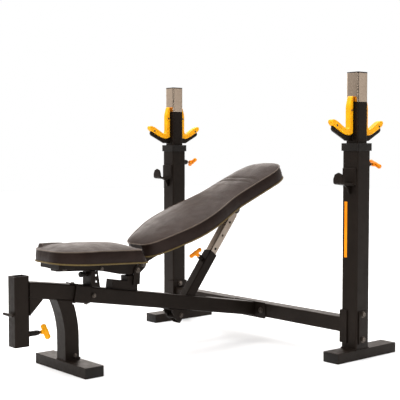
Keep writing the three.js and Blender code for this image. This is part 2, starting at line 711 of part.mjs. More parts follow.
// The tongue is part of a ring around the seat hinge, so it stays in the guide as the seat rises.
function tongue() {
  const INNER = 194;
  const OUTER = 207;
  const start = Math.PI - THREE.MathUtils.degToRad(4.3);
  const end = Math.PI + THREE.MathUtils.degToRad(10);
  const [x, z] = SEAT_HINGE;
  const shape = new THREE.Shape();
  shape.absarc(x, z, OUTER, start, end);
  shape.absarc(x, z, INNER, end, start, true);
  return fromSide(shape, -20, 20);
}

piece('seat_pad', seatPad(), vinyl);
piece('seat_board', seatBoard(), plywood);
piece('seat_carrier', seatCarrier(), paint);

// ---------------------------------------------------------------- backrest

const back = sidePlace([0, 0], BACK_TILT); // its x runs up the pad, its z stands out of it
const PAD_BASE = 617;
const PAD_CROWN = 683;
const FRAME_DEPTH = 27;

function inBack([x, z]) {
  const cos = Math.cos(BACK_TILT);
  const sin = Math.sin(BACK_TILT);
  return [x * cos + z * sin, -x * sin + z * cos];
}

// Half widths of the pad along its length, from the hinge end to the head end.
const BACK_OUTLINE = [
  [-424, 46], [-418, 66], [-404, 84], [-380, 100], [-344, 119], [-300, 137], [-258, 153], [-210, 162],
  [-150, 161], [-90, 152], [-34, 137], [30, 123], [90, 118], [262, 118], [310, 112], [345, 96],
  [364, 70], [372, 38],
];

function backOutline(inset) {
  const ends = [BACK_OUTLINE[0][0], BACK_OUTLINE[BACK_OUTLINE.length - 1][0]];
  const middle = (ends[0] + ends[1]) / 2;
  const shrink = (s) => middle + (s - middle) * (1 - inset / (ends[1] - middle));
  const side = BACK_OUTLINE.map(([s, half]) => new THREE.Vector2(shrink(s), half - inset));
  const other = side.map((p) => new THREE.Vector2(p.x, -p.y)).reverse();
  const shape = new THREE.Shape();
  shape.moveTo(other[other.length - 1].x, other[other.length - 1].y);
  shape.lineTo(side[0].x, side[0].y);
  shape.splineThru(side.slice(1));
  shape.lineTo(other[0].x, other[0].y);
  shape.splineThru(other.slice(1));
  return shape;
}

function backPad() {
  const CROWN_DEPTH = 16;
  const whole = fromAbove(backOutline(PAD_ROUNDING), PAD_BASE, PAD_CROWN - CROWN_DEPTH, back, {
    bevelEnabled: true, bevelThickness: CROWN_DEPTH, bevelSize: PAD_ROUNDING, bevelSegments: 2,
  });
  const below = block([-600, 600], [-200, 200], [PAD_BASE - 60, PAD_BASE], back);
  const room = fromAbove(backOutline(BOARD_INSET - GAP), PAD_BASE - 10, PAD_BASE + BOARD + GAP, back);
  return cut(whole, below, room);
}

function backBoard() {
  return fromAbove(backOutline(BOARD_INSET), PAD_BASE, PAD_BASE + BOARD, back);
}

// Flat tube under the pad, with the hinge eye at its low end and two lugs for the strut.
function backFrame() {
  const HALF_WIDTH = 22;
  const LUG = 5;
  const LUG_INNER = STRUT_INNER / 2 + 0.7;
  const [hingeS, hingeH] = inBack(BACK_HINGE);
  const [strutS, strutH] = inBack(STRUT_TOP);
  const top = PAD_BASE - GAP;
  const bottom = PAD_BASE - FRAME_DEPTH;
  const middle = (top + bottom) / 2;
  const lift = new THREE.Matrix4().makeTranslation(0, 0, middle).premultiply(back);
  const tube = tubeAlong(lift, hingeS + 22, 210, 2 * HALF_WIDTH, top - bottom, WALL, 3);
  const eyeShape = linkShape([hingeS, hingeH], [hingeS + 26, middle], 13);
  const eye = fromSide(eyeShape, -HALF_WIDTH, HALF_WIDTH, back, { curveSegments: FINE_ARC });
  const lugShape = polygon([
    [strutS - 24, bottom + 2], [strutS - 12, strutH - 8], [strutS, strutH - 13], [strutS + 12, strutH - 8],
    [strutS + 24, bottom + 2],
  ]);
  const lugs = [LUG_INNER, -LUG_INNER - LUG].map((y) => fromSide(lugShape, y, y + LUG, back));
  const bores = [BACK_HINGE, STRUT_TOP].map(([x, z], i) => rod([x, -60, z], [x, 60, z], i ? 5.4 : 6.4));
  return cut(union(tube, eye, ...lugs), ...bores);
}

piece('back_pad', backPad(), vinyl);
piece('back_board', backBoard(), plywood);
piece('back_frame', backFrame(), paint);
piece('strut_top_bolt', crossBolt(STRUT_TOP, 5, 23.6, 8, 6), zinc);

// ---------------------------------------------------------------- backrest strut

const strutRise = Math.atan2(STRUT_TOP[1] - STRUT_PIVOT[1], STRUT_TOP[0] - STRUT_PIVOT[0]);
const strutLength = Math.hypot(STRUT_TOP[0] - STRUT_PIVOT[0], STRUT_TOP[1] - STRUT_PIVOT[1]);
const strut = sidePlace(STRUT_PIVOT, strutRise); // its x runs up the strut from the lower pivot
const PIN_STATION = strutLength - STRUT_FIRST_HOLE - 3 * STRUT_HOLE_PITCH;
const BOSS_HEIGHT = 44;

function onStrut(x, y, z) {
  return new THREE.Vector3(x, y, z).applyMatrix4(strut).toArray();
}

// The lower pivot is open on one side, so that the tube can leave its bolt as the backrest swings.
function strutOuter() {
  const half = STRUT_OUTER / 2;
  const tube = tubeAlong(strut, -STRUT_OUTER_TAIL, STRUT_OUTER_MOUTH, STRUT_OUTER, STRUT_OUTER, 2.8, 4);
  const boss = rod(onStrut(PIN_STATION, 0, half - 2), onStrut(PIN_STATION, 0, BOSS_HEIGHT), 10);
  const pinHole = rod(onStrut(PIN_STATION, 0, 12), onStrut(PIN_STATION, 0, BOSS_HEIGHT + 2), PIN_HOLE);
  const bore = block([PIN_STATION - 15, PIN_STATION + 15], [-15, 15], [0, half - 2.8], strut);
  const notch = block([-8, 17], [-30, 30], [-7, half + 2], strut);
  return cut(union(tube, boss), bore, pinHole, notch);
}

// Chrome tube with a row of holes, and a solid knuckle for the backrest's lugs.
function strutInner() {
  const half = STRUT_INNER / 2;
  const end = strutLength - STRUT_INNER_LENGTH;
  const tube = tubeAlong(strut, end, strutLength - 16, STRUT_INNER, STRUT_INNER, 2.5, 3);
  const knuckleShape = linkShape([strutLength, 0], [strutLength - 34, 0], 13);
  const knuckle = fromSide(knuckleShape, -half, half, strut, { curveSegments: FINE_ARC });
  const holes = [];
  for (let i = 0; i < STRUT_HOLES; i += 1) {
    const x = strutLength - STRUT_FIRST_HOLE - i * STRUT_HOLE_PITCH;
    holes.push(rod(onStrut(x, -30, 0), onStrut(x, 30, 0), PIN_HOLE, 8));
  }
  const bore = rod(onStrut(strutLength, -30, 0), onStrut(strutLength, 30, 0), 5.4);
  return cut(union(tube, knuckle), bore, ...holes);
}

function strutPin() {
  const BAR_TURN = THREE.MathUtils.degToRad(40);
  const HANDLE_OUT = 68;
  const tip = onStrut(PIN_STATION, 0, STRUT_INNER / 2 + 0.8);
  const out = onStrut(PIN_STATION, 0, HANDLE_OUT);
  const away = onStrut(PIN_STATION + Math.cos(BAR_TURN), Math.sin(BAR_TURN), HANDLE_OUT);
  const axis = out.map((value, i) => value - tip[i]);
  const bar = away.map((value, i) => value - out[i]);
  return pullPin(tip, axis, bar, HANDLE_OUT - STRUT_INNER / 2);
}

// A channel below the rail: two cheeks that hold the strut's pivot bolt.
function strutBracket() {
  const inner = STRUT_OUTER / 2 + 1.5;
  const CHEEK = 5;
  const [x, z] = STRUT_PIVOT;
  const shape = polygon([
    [x - 46, z + 60], [x - 46, z + 16], [x - 22, z - 17],
    [x + 20, z - 17], [x + 62, z + 20], [x + 62, z + 60],
  ]);
  const flange = block([alongRail(x - 44), alongRail(x + 62)], [-HALF, HALF], [-HALF - 5, -HALF], rail);
  const room = block([-600, -300], [-inner, inner], [50, 300]);
  const cheeks = union(
    fromSide(shape, inner, inner + CHEEK),
    fromSide(shape, -inner - CHEEK, -inner),
  );
  const end = block([alongRail(x - 52), alongRail(x - 44)], [-HALF, HALF], [-HALF - 5, -HALF], rail);
  const bore = rod([x, -50, z], [x, 50, z], 5.4);
  return cut(union(cut(union(cheeks, flange), room), end), railEnvelope, bore);
}

piece('strut_outer', strutOuter(), paint);
piece('strut_inner', strutInner(), chrome);
piece('strut_pin', strutPin(), amber);
piece('strut_bracket', strutBracket(), paint);
piece('strut_pivot_bolt', crossBolt(STRUT_PIVOT, 5, 28.9, 9, 7), zinc);

// The overall box is centred on the origin along the bench.
bench.position.x = -(FOOT_REAR_X + HOOK_ROD_X - HOOK_ROD / 2) / 2;

export default bench;
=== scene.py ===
"""The looks of the olympic bench press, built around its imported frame.

Metres, with +X from the foot end to the uprights, +Y to the left and +Z up. A place given with at() is
in millimetres from the uprights' centre line, on the floor, like the dimensions of the frame's parts.
"""

import json
import math

import bmesh
import bpy
import numpy as np
from mathutils import Matrix, Vector


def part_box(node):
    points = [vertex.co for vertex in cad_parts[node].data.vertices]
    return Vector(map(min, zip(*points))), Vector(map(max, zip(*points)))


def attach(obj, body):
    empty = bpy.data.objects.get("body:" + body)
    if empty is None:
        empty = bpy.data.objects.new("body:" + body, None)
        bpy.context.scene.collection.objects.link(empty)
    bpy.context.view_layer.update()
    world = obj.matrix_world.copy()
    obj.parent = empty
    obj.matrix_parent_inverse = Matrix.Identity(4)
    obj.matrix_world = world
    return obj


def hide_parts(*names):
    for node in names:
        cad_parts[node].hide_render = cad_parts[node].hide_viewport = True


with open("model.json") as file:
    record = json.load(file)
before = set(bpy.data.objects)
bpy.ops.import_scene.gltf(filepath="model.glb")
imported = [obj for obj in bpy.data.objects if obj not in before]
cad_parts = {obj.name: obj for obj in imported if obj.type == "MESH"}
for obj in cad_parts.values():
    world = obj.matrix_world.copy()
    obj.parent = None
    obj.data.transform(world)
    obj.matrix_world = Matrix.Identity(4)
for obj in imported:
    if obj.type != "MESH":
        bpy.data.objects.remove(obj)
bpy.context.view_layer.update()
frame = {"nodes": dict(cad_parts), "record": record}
nodes = frame["nodes"]
SIDES = (("left", 1), ("right", -1))
MM = 0.001

# ---------------------------------------------------------------- driving dimensions, in millimetres

FOOT_REAR = 210  # the rear end of the uprights' feet, behind the uprights' centre
FOOT_FRONT = -143
UPRIGHTS_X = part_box("left_foot")[1].x - FOOT_REAR * MM
UPRIGHT_Y = 570  # from the middle plane to an upright's centre
UPRIGHT_HALF = 38  # half of an upright's width, rounded down
FOOT_TOP = 40


def at(x, y, z):
    """A point given in millimetres from the uprights' centre line."""
    return Vector((UPRIGHTS_X + x * MM, y * MM, z * MM))


def side_place(x, z, degrees):
    """A place in the side view: its X runs along a slope, its Z stands out of the slope."""
    turn = Matrix.Rotation(-math.radians(degrees), 4, "Y")
    return Matrix.Translation(at(x, 0, z)) @ turn


# ---------------------------------------------------------------- camera

CAMERA_PLACE = Vector((UPRIGHTS_X - 2.815, -2.920, 0.812))
CAMERA_PITCH = -2.92  # degrees from level
CAMERA_TURN = -40.49  # degrees from +Y
CAMERA_LENS = 82.7  # millimetres, on a sensor 36 mm wide
SENSOR_WIDTH = 36.0


def make_camera():
    """A long lens at waist height, beyond the foot end and to its right."""
    data = bpy.data.cameras.new("camera")
    data.sensor_width = SENSOR_WIDTH
    data.lens = CAMERA_LENS
    camera = bpy.data.objects.new("camera", data)
    camera.location = CAMERA_PLACE
    camera.rotation_euler = (math.radians(90 + CAMERA_PITCH), 0, math.radians(CAMERA_TURN))
    bpy.context.scene.collection.objects.link(camera)
    bpy.context.scene.camera = camera


# ---------------------------------------------------------------- materials


NOISE_LOW, NOISE_HIGH = 0.3, 0.7  # the range in which nearly all of a noise texture's values lie


class Paint:
    """A material being put together: a Principled shader and the nodes that feed it."""

    def __init__(self, name):
        self.material = bpy.data.materials.new(name)
        self.material.use_nodes = True
        self.tree = self.material.node_tree
        self.shader = self.tree.nodes["Principled BSDF"]
        self.coordinates = self.tree.nodes.new("ShaderNodeTexCoord").outputs["Object"]

    def fixed(self, **values):
        """Sets uniform values on the shader's own inputs."""
        for name, value in values.items():
            self.shader.inputs[name.replace("_", " ")].default_value = value

    def node(self, kind, inputs=(), **settings):
        """A new node. An input is given as another node's output or as a plain value."""
        made = self.tree.nodes.new(kind)
        for name, value in settings.items():
            setattr(made, name, value)
        for name, value in dict(inputs).items():
            if isinstance(value, bpy.types.NodeSocket):
                self.tree.links.new(value, made.inputs[name])
            else:
                made.inputs[name].default_value = value
        return made

    def noise(self, scale, detail=2.0, stretch=(1, 1, 1)):
        """A noise value around 0.5, its scale in cells per metre."""
        mapped = self.node("ShaderNodeMapping", {"Vector": self.coordinates, "Scale": stretch})
        inputs = {"Vector": mapped.outputs[0], "Scale": scale, "Detail": detail}
        return self.node("ShaderNodeTexNoise", inputs).outputs["Fac"]

    def spread(self, value, low, high, from_low=NOISE_LOW, from_high=NOISE_HIGH):
        """Maps a value's own range to low and high."""
        inputs = {
            "Value": value, "From Min": from_low, "From Max": from_high, "To Min": low, "To Max": high,
        }
        return self.node("ShaderNodeMapRange", inputs).outputs["Result"]

    def colour(self, value, dark, light):
        """The base colour runs from dark to light with a noise value."""
        ramp = self.node("ShaderNodeValToRGB", {"Fac": value})
        ramp.color_ramp.elements[0].position = NOISE_LOW
        ramp.color_ramp.elements[1].position = NOISE_HIGH
        ramp.color_ramp.elements[0].color = (*dark, 1)
        ramp.color_ramp.elements[1].color = (*light, 1)
        self.tree.links.new(ramp.outputs["Color"], self.shader.inputs["Base Color"])

    def roughness(self, value):
        """The roughness follows a value."""
        self.tree.links.new(value, self.shader.inputs["Roughness"])

    def bump(self, *layers):
        """Each layer is a height, its strength and its depth in metres."""
        normal = None
        for height, strength, depth in layers:
            inputs = {"Height": height, "Strength": strength, "Distance": depth}
            if normal is not None:
                inputs["Normal"] = normal
            normal = self.node("ShaderNodeBump", inputs).outputs["Normal"]
        self.tree.links.new(normal, self.shader.inputs["Normal"])


def powder_coat():
    """Fine textured black powder coat, a little warm in its sheen."""
    paint = Paint("powder_coat")
    paint.colour(paint.noise(14.0, 4.0), (0.0062, 0.0043, 0.0031), (0.0100, 0.0072, 0.0055))
    paint.roughness(paint.spread(paint.noise(60.0), 0.40, 0.52))
    paint.bump((paint.noise(900.0, 3.0), 0.22, 0.0004), (paint.noise(130.0), 0.06, 0.001))
    paint.fixed(Specular_IOR_Level=0.14, Specular_Tint=(1.0, 0.86, 0.78, 1))
    return paint.material


def chrome_plate(name, dark, light, gloss):
    """Plated steel, a little uneven in its gloss; gloss is its lowest roughness."""
    paint = Paint(name)
    paint.fixed(Metallic=1.0)
    paint.colour(paint.noise(9.0), dark, light)
    paint.roughness(paint.spread(paint.noise(16.0, 1.0, (2, 2, 0.4)), gloss, gloss + 0.08))
    paint.bump((paint.noise(7.0, 1.0, (2, 2, 0.5)), 0.06, 0.0006))
    return paint.material


def amber(name, dark, light, roughness):
    """Moulded amber urethane, with a soft orange-peel skin."""
    paint = Paint(name)
    paint.colour(paint.noise(35.0, 3.0), dark, light)
    paint.roughness(paint.spread(paint.noise(120.0), roughness, roughness + 0.12))
    paint.bump((paint.noise(420.0, 2.0), 0.14, 0.0004), (paint.noise(45.0), 0.08, 0.0015))
    paint.fixed(Specular_IOR_Level=0.22)
    return paint.material


def black_plastic():
    """Moulded black plastic with a fine grain."""
    paint = Paint("black_plastic")
    paint.colour(paint.noise(50.0), (0.005, 0.0038, 0.003), (0.009, 0.0070, 0.0058))
    paint.roughness(paint.spread(paint.noise(80.0), 0.42, 0.58))
    paint.bump((paint.noise(1500.0, 1.0), 0.25, 0.0003))
    paint.fixed(Specular_IOR_Level=0.2)
    return paint.material


def vinyl(name, dark, light, roughness=0.40):
    """Grained vinyl: fine cells over soft rumples, with a little wear in its gloss."""
    paint = Paint(name)
    paint.colour(paint.noise(18.0, 5.0), dark, light)
    cells = paint.node(
        "ShaderNodeTexVoronoi", {"Vector": paint.coordinates, "Scale": 620.0}, feature="DISTANCE_TO_EDGE",
    )
    grain = paint.spread(cells.outputs["Distance"], 0.0, 1.0, 0.0, 0.22)
    paint.roughness(paint.spread(paint.noise(26.0, 4.0), roughness, roughness + 0.14))
    rumples = (paint.noise(24.0, 3.0), 0.16, 0.004)
    pores = (paint.noise(1400.0), 0.1, 0.0003)
    paint.bump(rumples, (grain, 0.16, 0.00035), pores)
    paint.fixed(Specular_IOR_Level=0.17, Specular_Tint=(1.0, 0.82, 0.76, 1))
    return paint.material


def thread(name, dark, light):
    """Dull twisted sewing thread."""
    paint = Paint(name)
    paint.colour(paint.noise(500.0), dark, light)
    paint.roughness(paint.spread(paint.noise(300.0), 0.65, 0.85))
    paint.bump((paint.noise(2500.0, 1.0, (1, 1, 3)), 0.4, 0.0003))
    return paint.material


def plywood():
    """Dark plywood, with its layers seen on a board's edges."""
    paint = Paint("plywood")
    paint.colour(paint.noise(30.0, 6.0, (1, 1, 18)), (0.030, 0.020, 0.012), (0.075, 0.050, 0.030))
    paint.roughness(paint.spread(paint.noise(60.0), 0.65, 0.85))
    paint.bump((paint.noise(200.0, 4.0, (1, 1, 10)), 0.3, 0.0006))
    return paint.material


def bolt_metal():
    """Dark oxidised steel fasteners."""
    paint = Paint("bolt_metal")
    paint.fixed(Metallic=1.0)
    paint.colour(paint.noise(200.0), (0.060, 0.050, 0.042), (0.120, 0.102, 0.088))
    paint.roughness(paint.spread(paint.noise(400.0), 0.26, 0.42))
    paint.bump((paint.noise(1800.0, 1.0), 0.12, 0.0002))
    return paint.material


POWDER = powder_coat()
CHROME = chrome_plate("chrome_plate", (0.63, 0.52, 0.41), (0.69, 0.58, 0.47), 0.16)
STEEL = chrome_plate("strut_steel", (0.26, 0.215, 0.175), (0.32, 0.27, 0.225), 0.26)
LINER = amber("amber_urethane", (0.90, 0.36, 0.0), (1.0, 0.47, 0.001), 0.34)
HANDLE = amber("amber_handle", (0.95, 0.25, 0.001), (1.0, 0.34, 0.003), 0.30)
PLASTIC = black_plastic()
VINYL = vinyl("dark_vinyl", (0.0085, 0.0045, 0.0034), (0.0150, 0.0088, 0.0068))
# The piping is the cover's vinyl, but its colour is several times lighter than the cover's: a painted
# highlight along the pads' top edges.
PIPING_LIGHTENED_AS_HIGHLIGHT = vinyl("piping_painted_highlight", (0.066, 0.051, 0.040), (0.094, 0.074, 0.058), 0.26)
WELT = vinyl("olive_welt", (0.085, 0.060, 0.020), (0.130, 0.096, 0.038), 0.44)
THREAD = thread("dark_thread", (0.060, 0.050, 0.040), (0.10, 0.085, 0.065))
PLYWOOD = plywood()
BOLT = bolt_metal()
SLOT_MATERIALS = {
    "frame_paint": POWDER, "chrome": CHROME, "amber_liner": LINER, "amber_handle": HANDLE,
    "black_plastic": PLASTIC, "upholstery": VINYL, "board": PLYWOOD, "fastener": BOLT,
}

# ---------------------------------------------------------------- mesh tools


def add_piece(name, mesh, material, body, smooth=True):
    """A new piece that moves with a body of the frame and has a material slot's name."""
    for polygon in mesh.polygons:
        polygon.use_smooth = smooth
    piece = bpy.data.objects.new(name, mesh)
    piece.data.materials.clear()
    piece.data.materials.append(material)
    bpy.context.scene.collection.objects.link(piece)
    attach(piece, body)
    return piece


def mesh_from(name, vertices, faces):
    """A mesh from points and from faces that list their points' numbers."""
    mesh = bpy.data.meshes.new(name)
    mesh.from_pydata([tuple(v) for v in vertices], [], faces)
    mesh.validate()
    mesh.update()
    return mesh


def merged(name, parts):
    """One mesh from several (vertices, faces) lists."""
    vertices, faces = [], []
    for points, polygons in parts:
        start = len(vertices)
        vertices.extend(points)
        faces.extend([tuple(i + start for i in polygon) for polygon in polygons])
    return mesh_from(name, vertices, faces)


def axes_for(direction):
    """A unit vector along a direction and two more square to it."""
    along = Vector(direction).normalized()
    upright = abs(along.z) >= 0.9
    helper = Vector((0, 1, 0)) if upright else Vector((0, 0, 1))
    across = helper.cross(along).normalized()
    return along, across, along.cross(across)


LEAST_RADIUS = 1e-5  # keeps a profile's points on its axis apart


def turned(profile, origin, direction, sides=28, start_angle=0.0):
    """A lathe shape: profile lists (distance along, radius), with closed ends."""
    along, across, up = axes_for(direction)
    vertices, faces = [], []
    for distance, radius in profile:
        for k in range(sides):
            angle = start_angle + 2 * math.pi * k / sides
            ray = across * math.cos(angle) + up * math.sin(angle)
            vertices.append(Vector(origin) + along * distance + ray * max(radius, LEAST_RADIUS))
    for ring in range(len(profile) - 1):
        for k in range(sides):
            a, b = ring * sides + k, ring * sides + (k + 1) % sides
            faces.append((a, b, b + sides, a + sides))
    faces.append(tuple(reversed(range(sides))))
    faces.append(tuple(len(vertices) - sides + k for k in range(sides)))
    return vertices, faces


WASHER_THICKNESS = 0.0016
WASHER_SPREAD = 1.28  # a washer's radius over its bolt head's


def hex_bolt(origin, direction, radius, height):
    """A washer, then a hex head with a chamfered crown."""
    base = WASHER_THICKNESS
    rim = radius * WASHER_SPREAD
    washer = [(0, rim), (base * 0.7, rim), (base, rim - 0.0006)]
    head = [
        (base, radius), (base + height * 0.72, radius), (base + height, radius * 0.84),
        (base + height, radius * 0.80),
    ]
    return [turned(washer, origin, direction, 24), turned(head, origin, direction, 6, math.pi / 6)]


HEAD_HEIGHT = 0.66  # a bolt head's height over its radius


def bolts(name, places, body):
    """Several bolts in one piece: each place is (point, direction, head radius)."""
    parts = []
    for origin, direction, radius in places:
        parts.extend(hex_bolt(origin, direction, radius, radius * HEAD_HEIGHT))
    add_piece(name, merged(name, parts), BOLT, body, smooth=False)


WELD_SCALE = 0.004  # the length of one scale of a weld


def swept(points, radius, sides=10, closed=False, ripple=0.0):
    """A round bead along a path. A ripple, as a share of the radius, makes the scales of a weld."""
    path = [Vector(p) for p in points]
    count = len(path)
    vertices, faces = [], []
    up = None
    travelled = 0.0
    for i, point in enumerate(path):
        before = path[i - 1] if closed or i else path[0]
        after = path[(i + 1) % count] if closed or i < count - 1 else path[-1]
        tangent = (after - before).normalized()
        if up is None:
            _, up, _ = axes_for(tangent)
        up = (up - tangent * up.dot(tangent)).normalized()
        side = tangent.cross(up)
        travelled += (point - path[i - 1]).length if i else 0.0
        swell = radius * (1 + ripple * math.sin(2 * math.pi * travelled / WELD_SCALE))
        for k in range(sides):
            angle = 2 * math.pi * k / sides
            vertices.append(point + (up * math.cos(angle) + side * math.sin(angle)) * swell)
    rings = count if closed else count - 1
    for i in range(rings):
        for k in range(sides):
            a, b = i * sides + k, i * sides + (k + 1) % sides
            c, d = ((i + 1) % count) * sides + (k + 1) % sides, ((i + 1) % count) * sides + k
            faces.append((a, b, c, d))
    if not closed:
        faces.append(tuple(reversed(range(sides))))
        faces.append(tuple(len(vertices) - sides + k for k in range(sides)))
    return vertices, faces


def finely(corners, step=0.0014, closed=True):
    """Points every step along a polyline."""
    path = [Vector(c) for c in corners]
    legs = zip(path, path[1:] + path[:1]) if closed else zip(path, path[1:])
    points = []
    for start, end in legs:
        count = max(1, round((end - start).length / step))
        points.extend(start.lerp(end, i / count) for i in range(count))
    if not closed:
        points.append(path[-1])
    return points


def rounded_box(low, high, radius, segments=3):
    """A box with rounded edges, as vertices and faces."""
    shape = bmesh.new()
    bmesh.ops.create_cube(shape, size=1.0)
    size = Vector(high) - Vector(low)
    middle = (Vector(high) + Vector(low)) / 2
    for vertex in shape.verts:
        vertex.co = Vector(c * s for c, s in zip(vertex.co, size)) + middle
    bmesh.ops.bevel(
        shape, geom=list(shape.edges), offset=radius, segments=segments, profile=0.5, affect="EDGES",
    )
    vertices = [v.co.copy() for v in shape.verts]
    faces = [tuple(v.index for v in f.verts) for f in shape.faces]
    shape.free()
    return vertices, faces


# ---------------------------------------------------------------- the frame's own pieces

EDGE_RADIUS = {  # in millimetres
    "front_leg": 5.0, "left_foot": 4.0, "right_foot": 4.0, "front_foot": 4.0, "front_arm": 1.2,
    "left_front_liner": 3.2, "left_rear_liner": 3.2, "right_front_liner": 3.2, "right_rear_liner": 3.2,
    "left_collar": 2.0, "right_collar": 2.0, "left_post_cap": 1.6, "right_post_cap": 1.6, "seat_carrier": 2.5,
    "rear_post": 2.5, "back_frame": 1.5, "left_safety_catch": 1.6, "right_safety_catch": 1.6,
}
PLAIN_EDGE = 0.8  # the bevel of a cut tube or plate, in millimetres
SHARP_ANGLE = math.radians(38)
FLAT_ANGLE = math.radians(1.5)
WELD_REACH = 0.00002  # points closer than this are one point


def dress_frame():
    """Each CAD node keeps its shape, and gets its material and rounded edges."""
    slots = {row["node"]: row["material_slot"] for row in frame["record"]["subparts"]}
    for name, node in nodes.items():
        node.data.materials.clear()
        node.data.materials.append(STEEL if name == "strut_inner" else SLOT_MATERIALS[slots[name]])
        join = node.modifiers.new("join", "WELD")
        join.merge_threshold = WELD_REACH
        flat = node.modifiers.new("flat", "DECIMATE")
        flat.decimate_type = "DISSOLVE"
        flat.angle_limit = FLAT_ANGLE
        edge = node.modifiers.new("edge", "BEVEL")
        edge.width = EDGE_RADIUS.get(name, PLAIN_EDGE) * MM
        edge.segments = 3
        edge.limit_method = "ANGLE"
        edge.angle_limit = SHARP_ANGLE
        edge.use_clamp_overlap = True
        edge.harden_normals = True
        for polygon in node.data.polygons:
            polygon.use_smooth = True
        shade = node.modifiers.new("shade", "WEIGHTED_NORMAL")
        shade.keep_sharp = True


# ---------------------------------------------------------------- upholstery


class Pad:
    """An upholstered pad, drawn as a grid of stations along it and lines across it.

    place puts its own axes (along, across, out) into the frame, with its underside at out = 0.
    half(s) is its half width at station s, edge(s) the height of its top piping, and crown the extra
    height of its middle. The crown falls off towards the sides (side_power) and, within front_reach and
    rear_reach, towards the ends (END_POWER). rear_lean and front_lean move the top of the rear and
    front ends forwards, so that both ends can slope. The cover hangs below the board's edge by its
    skirt. The top is nowhere lower than ridge(s, share). seams lists the stations of its cross seams.
    """

    ACROSS = 44
    ALONG = 110
    SIDE_ROWS = 10
    EASING = 0.7  # how much closer the stations lie near the ends, from 0 to 1
    SPACING = math.pi / 2 * 0.88  # likewise for the lines across
    END_POWER = 2.2
    LEAN_REACH = 0.11
    BULGE = 0.0024
    SEAM_DEPTH = 0.0036
    SEAM_WIDTH = 0.0060
    UNDERSIDE = 0.0004  # just above the board, which hides it
    BASE_HOLD, PIPING_HOLD, SEAM_HOLD = 1.0, 0.85, 0.9

    def __init__(
        self, node, place, start, end, half, edge, crown, side_power, front_reach, rear_reach,
        rear_lean=0.0, front_lean=0.0, skirt=0.0, ridge=None, seams=(),
    ):
        self.node = node
        self.place = place
        self.start = start
        self.end = end
        self.half = half
        self.edge = edge
        self.crown = crown
        self.side_power = side_power
        self.front_reach = front_reach
        self.rear_reach = rear_reach
        self.rear_lean = rear_lean
        self.front_lean = front_lean
        self.skirt = skirt
        self.ridge = ridge
        self.seams = seams

    def stations(self):
        """Places along the pad, closer together near its ends, with one on every seam."""
        t = np.linspace(0, 1, self.ALONG + 1)
        eased = 0.5 - 0.5 * np.cos(np.pi * t)
        s = self.start + (self.end - self.start) * ((1 - self.EASING) * t + self.EASING * eased)
        for seam in self.seams:
            s[np.argmin(np.abs(s - seam))] = seam
        return s

    def top_place(self, s):
        """Where a station's top lies: both ends of the top are moved forwards by their lean."""
        near_rear = np.clip(1 - (self.end - s) / self.LEAN_REACH, 0, 1)
        near_front = np.clip(1 - (s - self.start) / self.LEAN_REACH, 0, 1)
        return s - self.rear_lean * near_rear ** 2 - self.front_lean * near_front ** 2

    def top_height(self, s, share):
        """The piping's height plus a crown, dipping at the seams. share runs from -1 to 1 across."""
        front = np.clip((s - self.start) / self.front_reach, 0, 1)
        rear = np.clip((self.end - s) / self.rear_reach, 0, 1)
        lengthwise = (1 - (1 - front) ** self.END_POWER) * (1 - (1 - rear) ** self.END_POWER)
        sideways = 1 - np.abs(share) ** self.side_power
        height = self.edge(s) + self.crown * lengthwise * sideways
        if self.ridge is not None:
            height = np.maximum(height, self.ridge(s, share))
        for seam in self.seams:
            dip = self.SEAM_DEPTH * math.exp(-((s - seam) / self.SEAM_WIDTH) ** 2)
            height = height - dip * np.clip((1 - np.abs(share)) * 4, 0, 1)
        return height

    def build(self):
        """Vertices in the pad's own axes, faces, and how firmly each vertex is sewn or stapled down."""
        s = self.stations()
        share = np.sin(np.linspace(-1, 1, self.ACROSS + 1) * self.SPACING) / math.sin(self.SPACING)
        rows, columns = len(s), self.ACROSS + 1
        above = np.zeros((rows, columns, 3))
        below = np.zeros((rows, columns, 3))
        for i, station in enumerate(s):
            half = self.half(station)
            above[i, :, 0] = self.top_place(station)
            below[i, :, 0] = station
            above[i, :, 1] = below[i, :, 1] = share * half
            above[i, :, 2] = self.top_height(station, share)
            below[i, :, 2] = self.UNDERSIDE
            below[i, (0, -1), 2] = -self.skirt
        below[(0, -1), :, 2] = -self.skirt
        vertices = list(above.reshape(-1, 3)) + list(below.reshape(-1, 3))
        top = np.arange(rows * columns).reshape(rows, columns)
        low = top + rows * columns
        faces = []
        for i in range(rows - 1):
            for j in range(columns - 1):
                faces.append((top[i, j], top[i + 1, j], top[i + 1, j + 1], top[i, j + 1]))
                faces.append((low[i, j], low[i, j + 1], low[i + 1, j + 1], low[i + 1, j]))
        ring_top = self.around(top)
        ring_low = self.around(low)
        count = len(ring_top)
        outline = np.array([vertices[k][:2] for k in ring_low])
        tangent = np.roll(outline, -1, axis=0) - np.roll(outline, 1, axis=0)
        outward = np.stack([tangent[:, 1], -tangent[:, 0]], axis=1)
        outward /= np.linalg.norm(outward, axis=1)[:, None]
        rings = [ring_top]
        for row in range(1, self.SIDE_ROWS):
            share_down = row / self.SIDE_ROWS
            bulge = self.BULGE * math.sin(math.pi * share_down)
            ring = []
            for k in range(count):
                point = vertices[ring_top[k]] * (1 - share_down) + vertices[ring_low[k]] * share_down
                ring.append(len(vertices))
                vertices.append(point + np.array([outward[k, 0] * bulge, outward[k, 1] * bulge, 0]))
            rings.append(ring)
        rings.append(ring_low)
        for upper, lower in zip(rings, rings[1:]):
            for k in range(count):
                after = (k + 1) % count
                faces.append((upper[k], lower[k], lower[after], upper[after]))
        self.ring_top = ring_top
        self.ring_low = ring_low
        self.outward = outward
        self.seam_paths = [top[np.argmin(np.abs(s - seam))].tolist() for seam in self.seams]
        held = {k: self.BASE_HOLD for k in low.ravel().tolist()}
        held.update({k: self.PIPING_HOLD for k in ring_top})
        for path in self.seam_paths:
            held.update({k: self.SEAM_HOLD for k in path})
        return np.array(vertices), faces, held

    def around(self, grid):
        """The numbers on a grid's rim, in order."""
        rim = [grid[:, 0], grid[-1, 1:], grid[-2::-1, -1], grid[0, -2:0:-1]]
        return np.concatenate(rim).tolist()


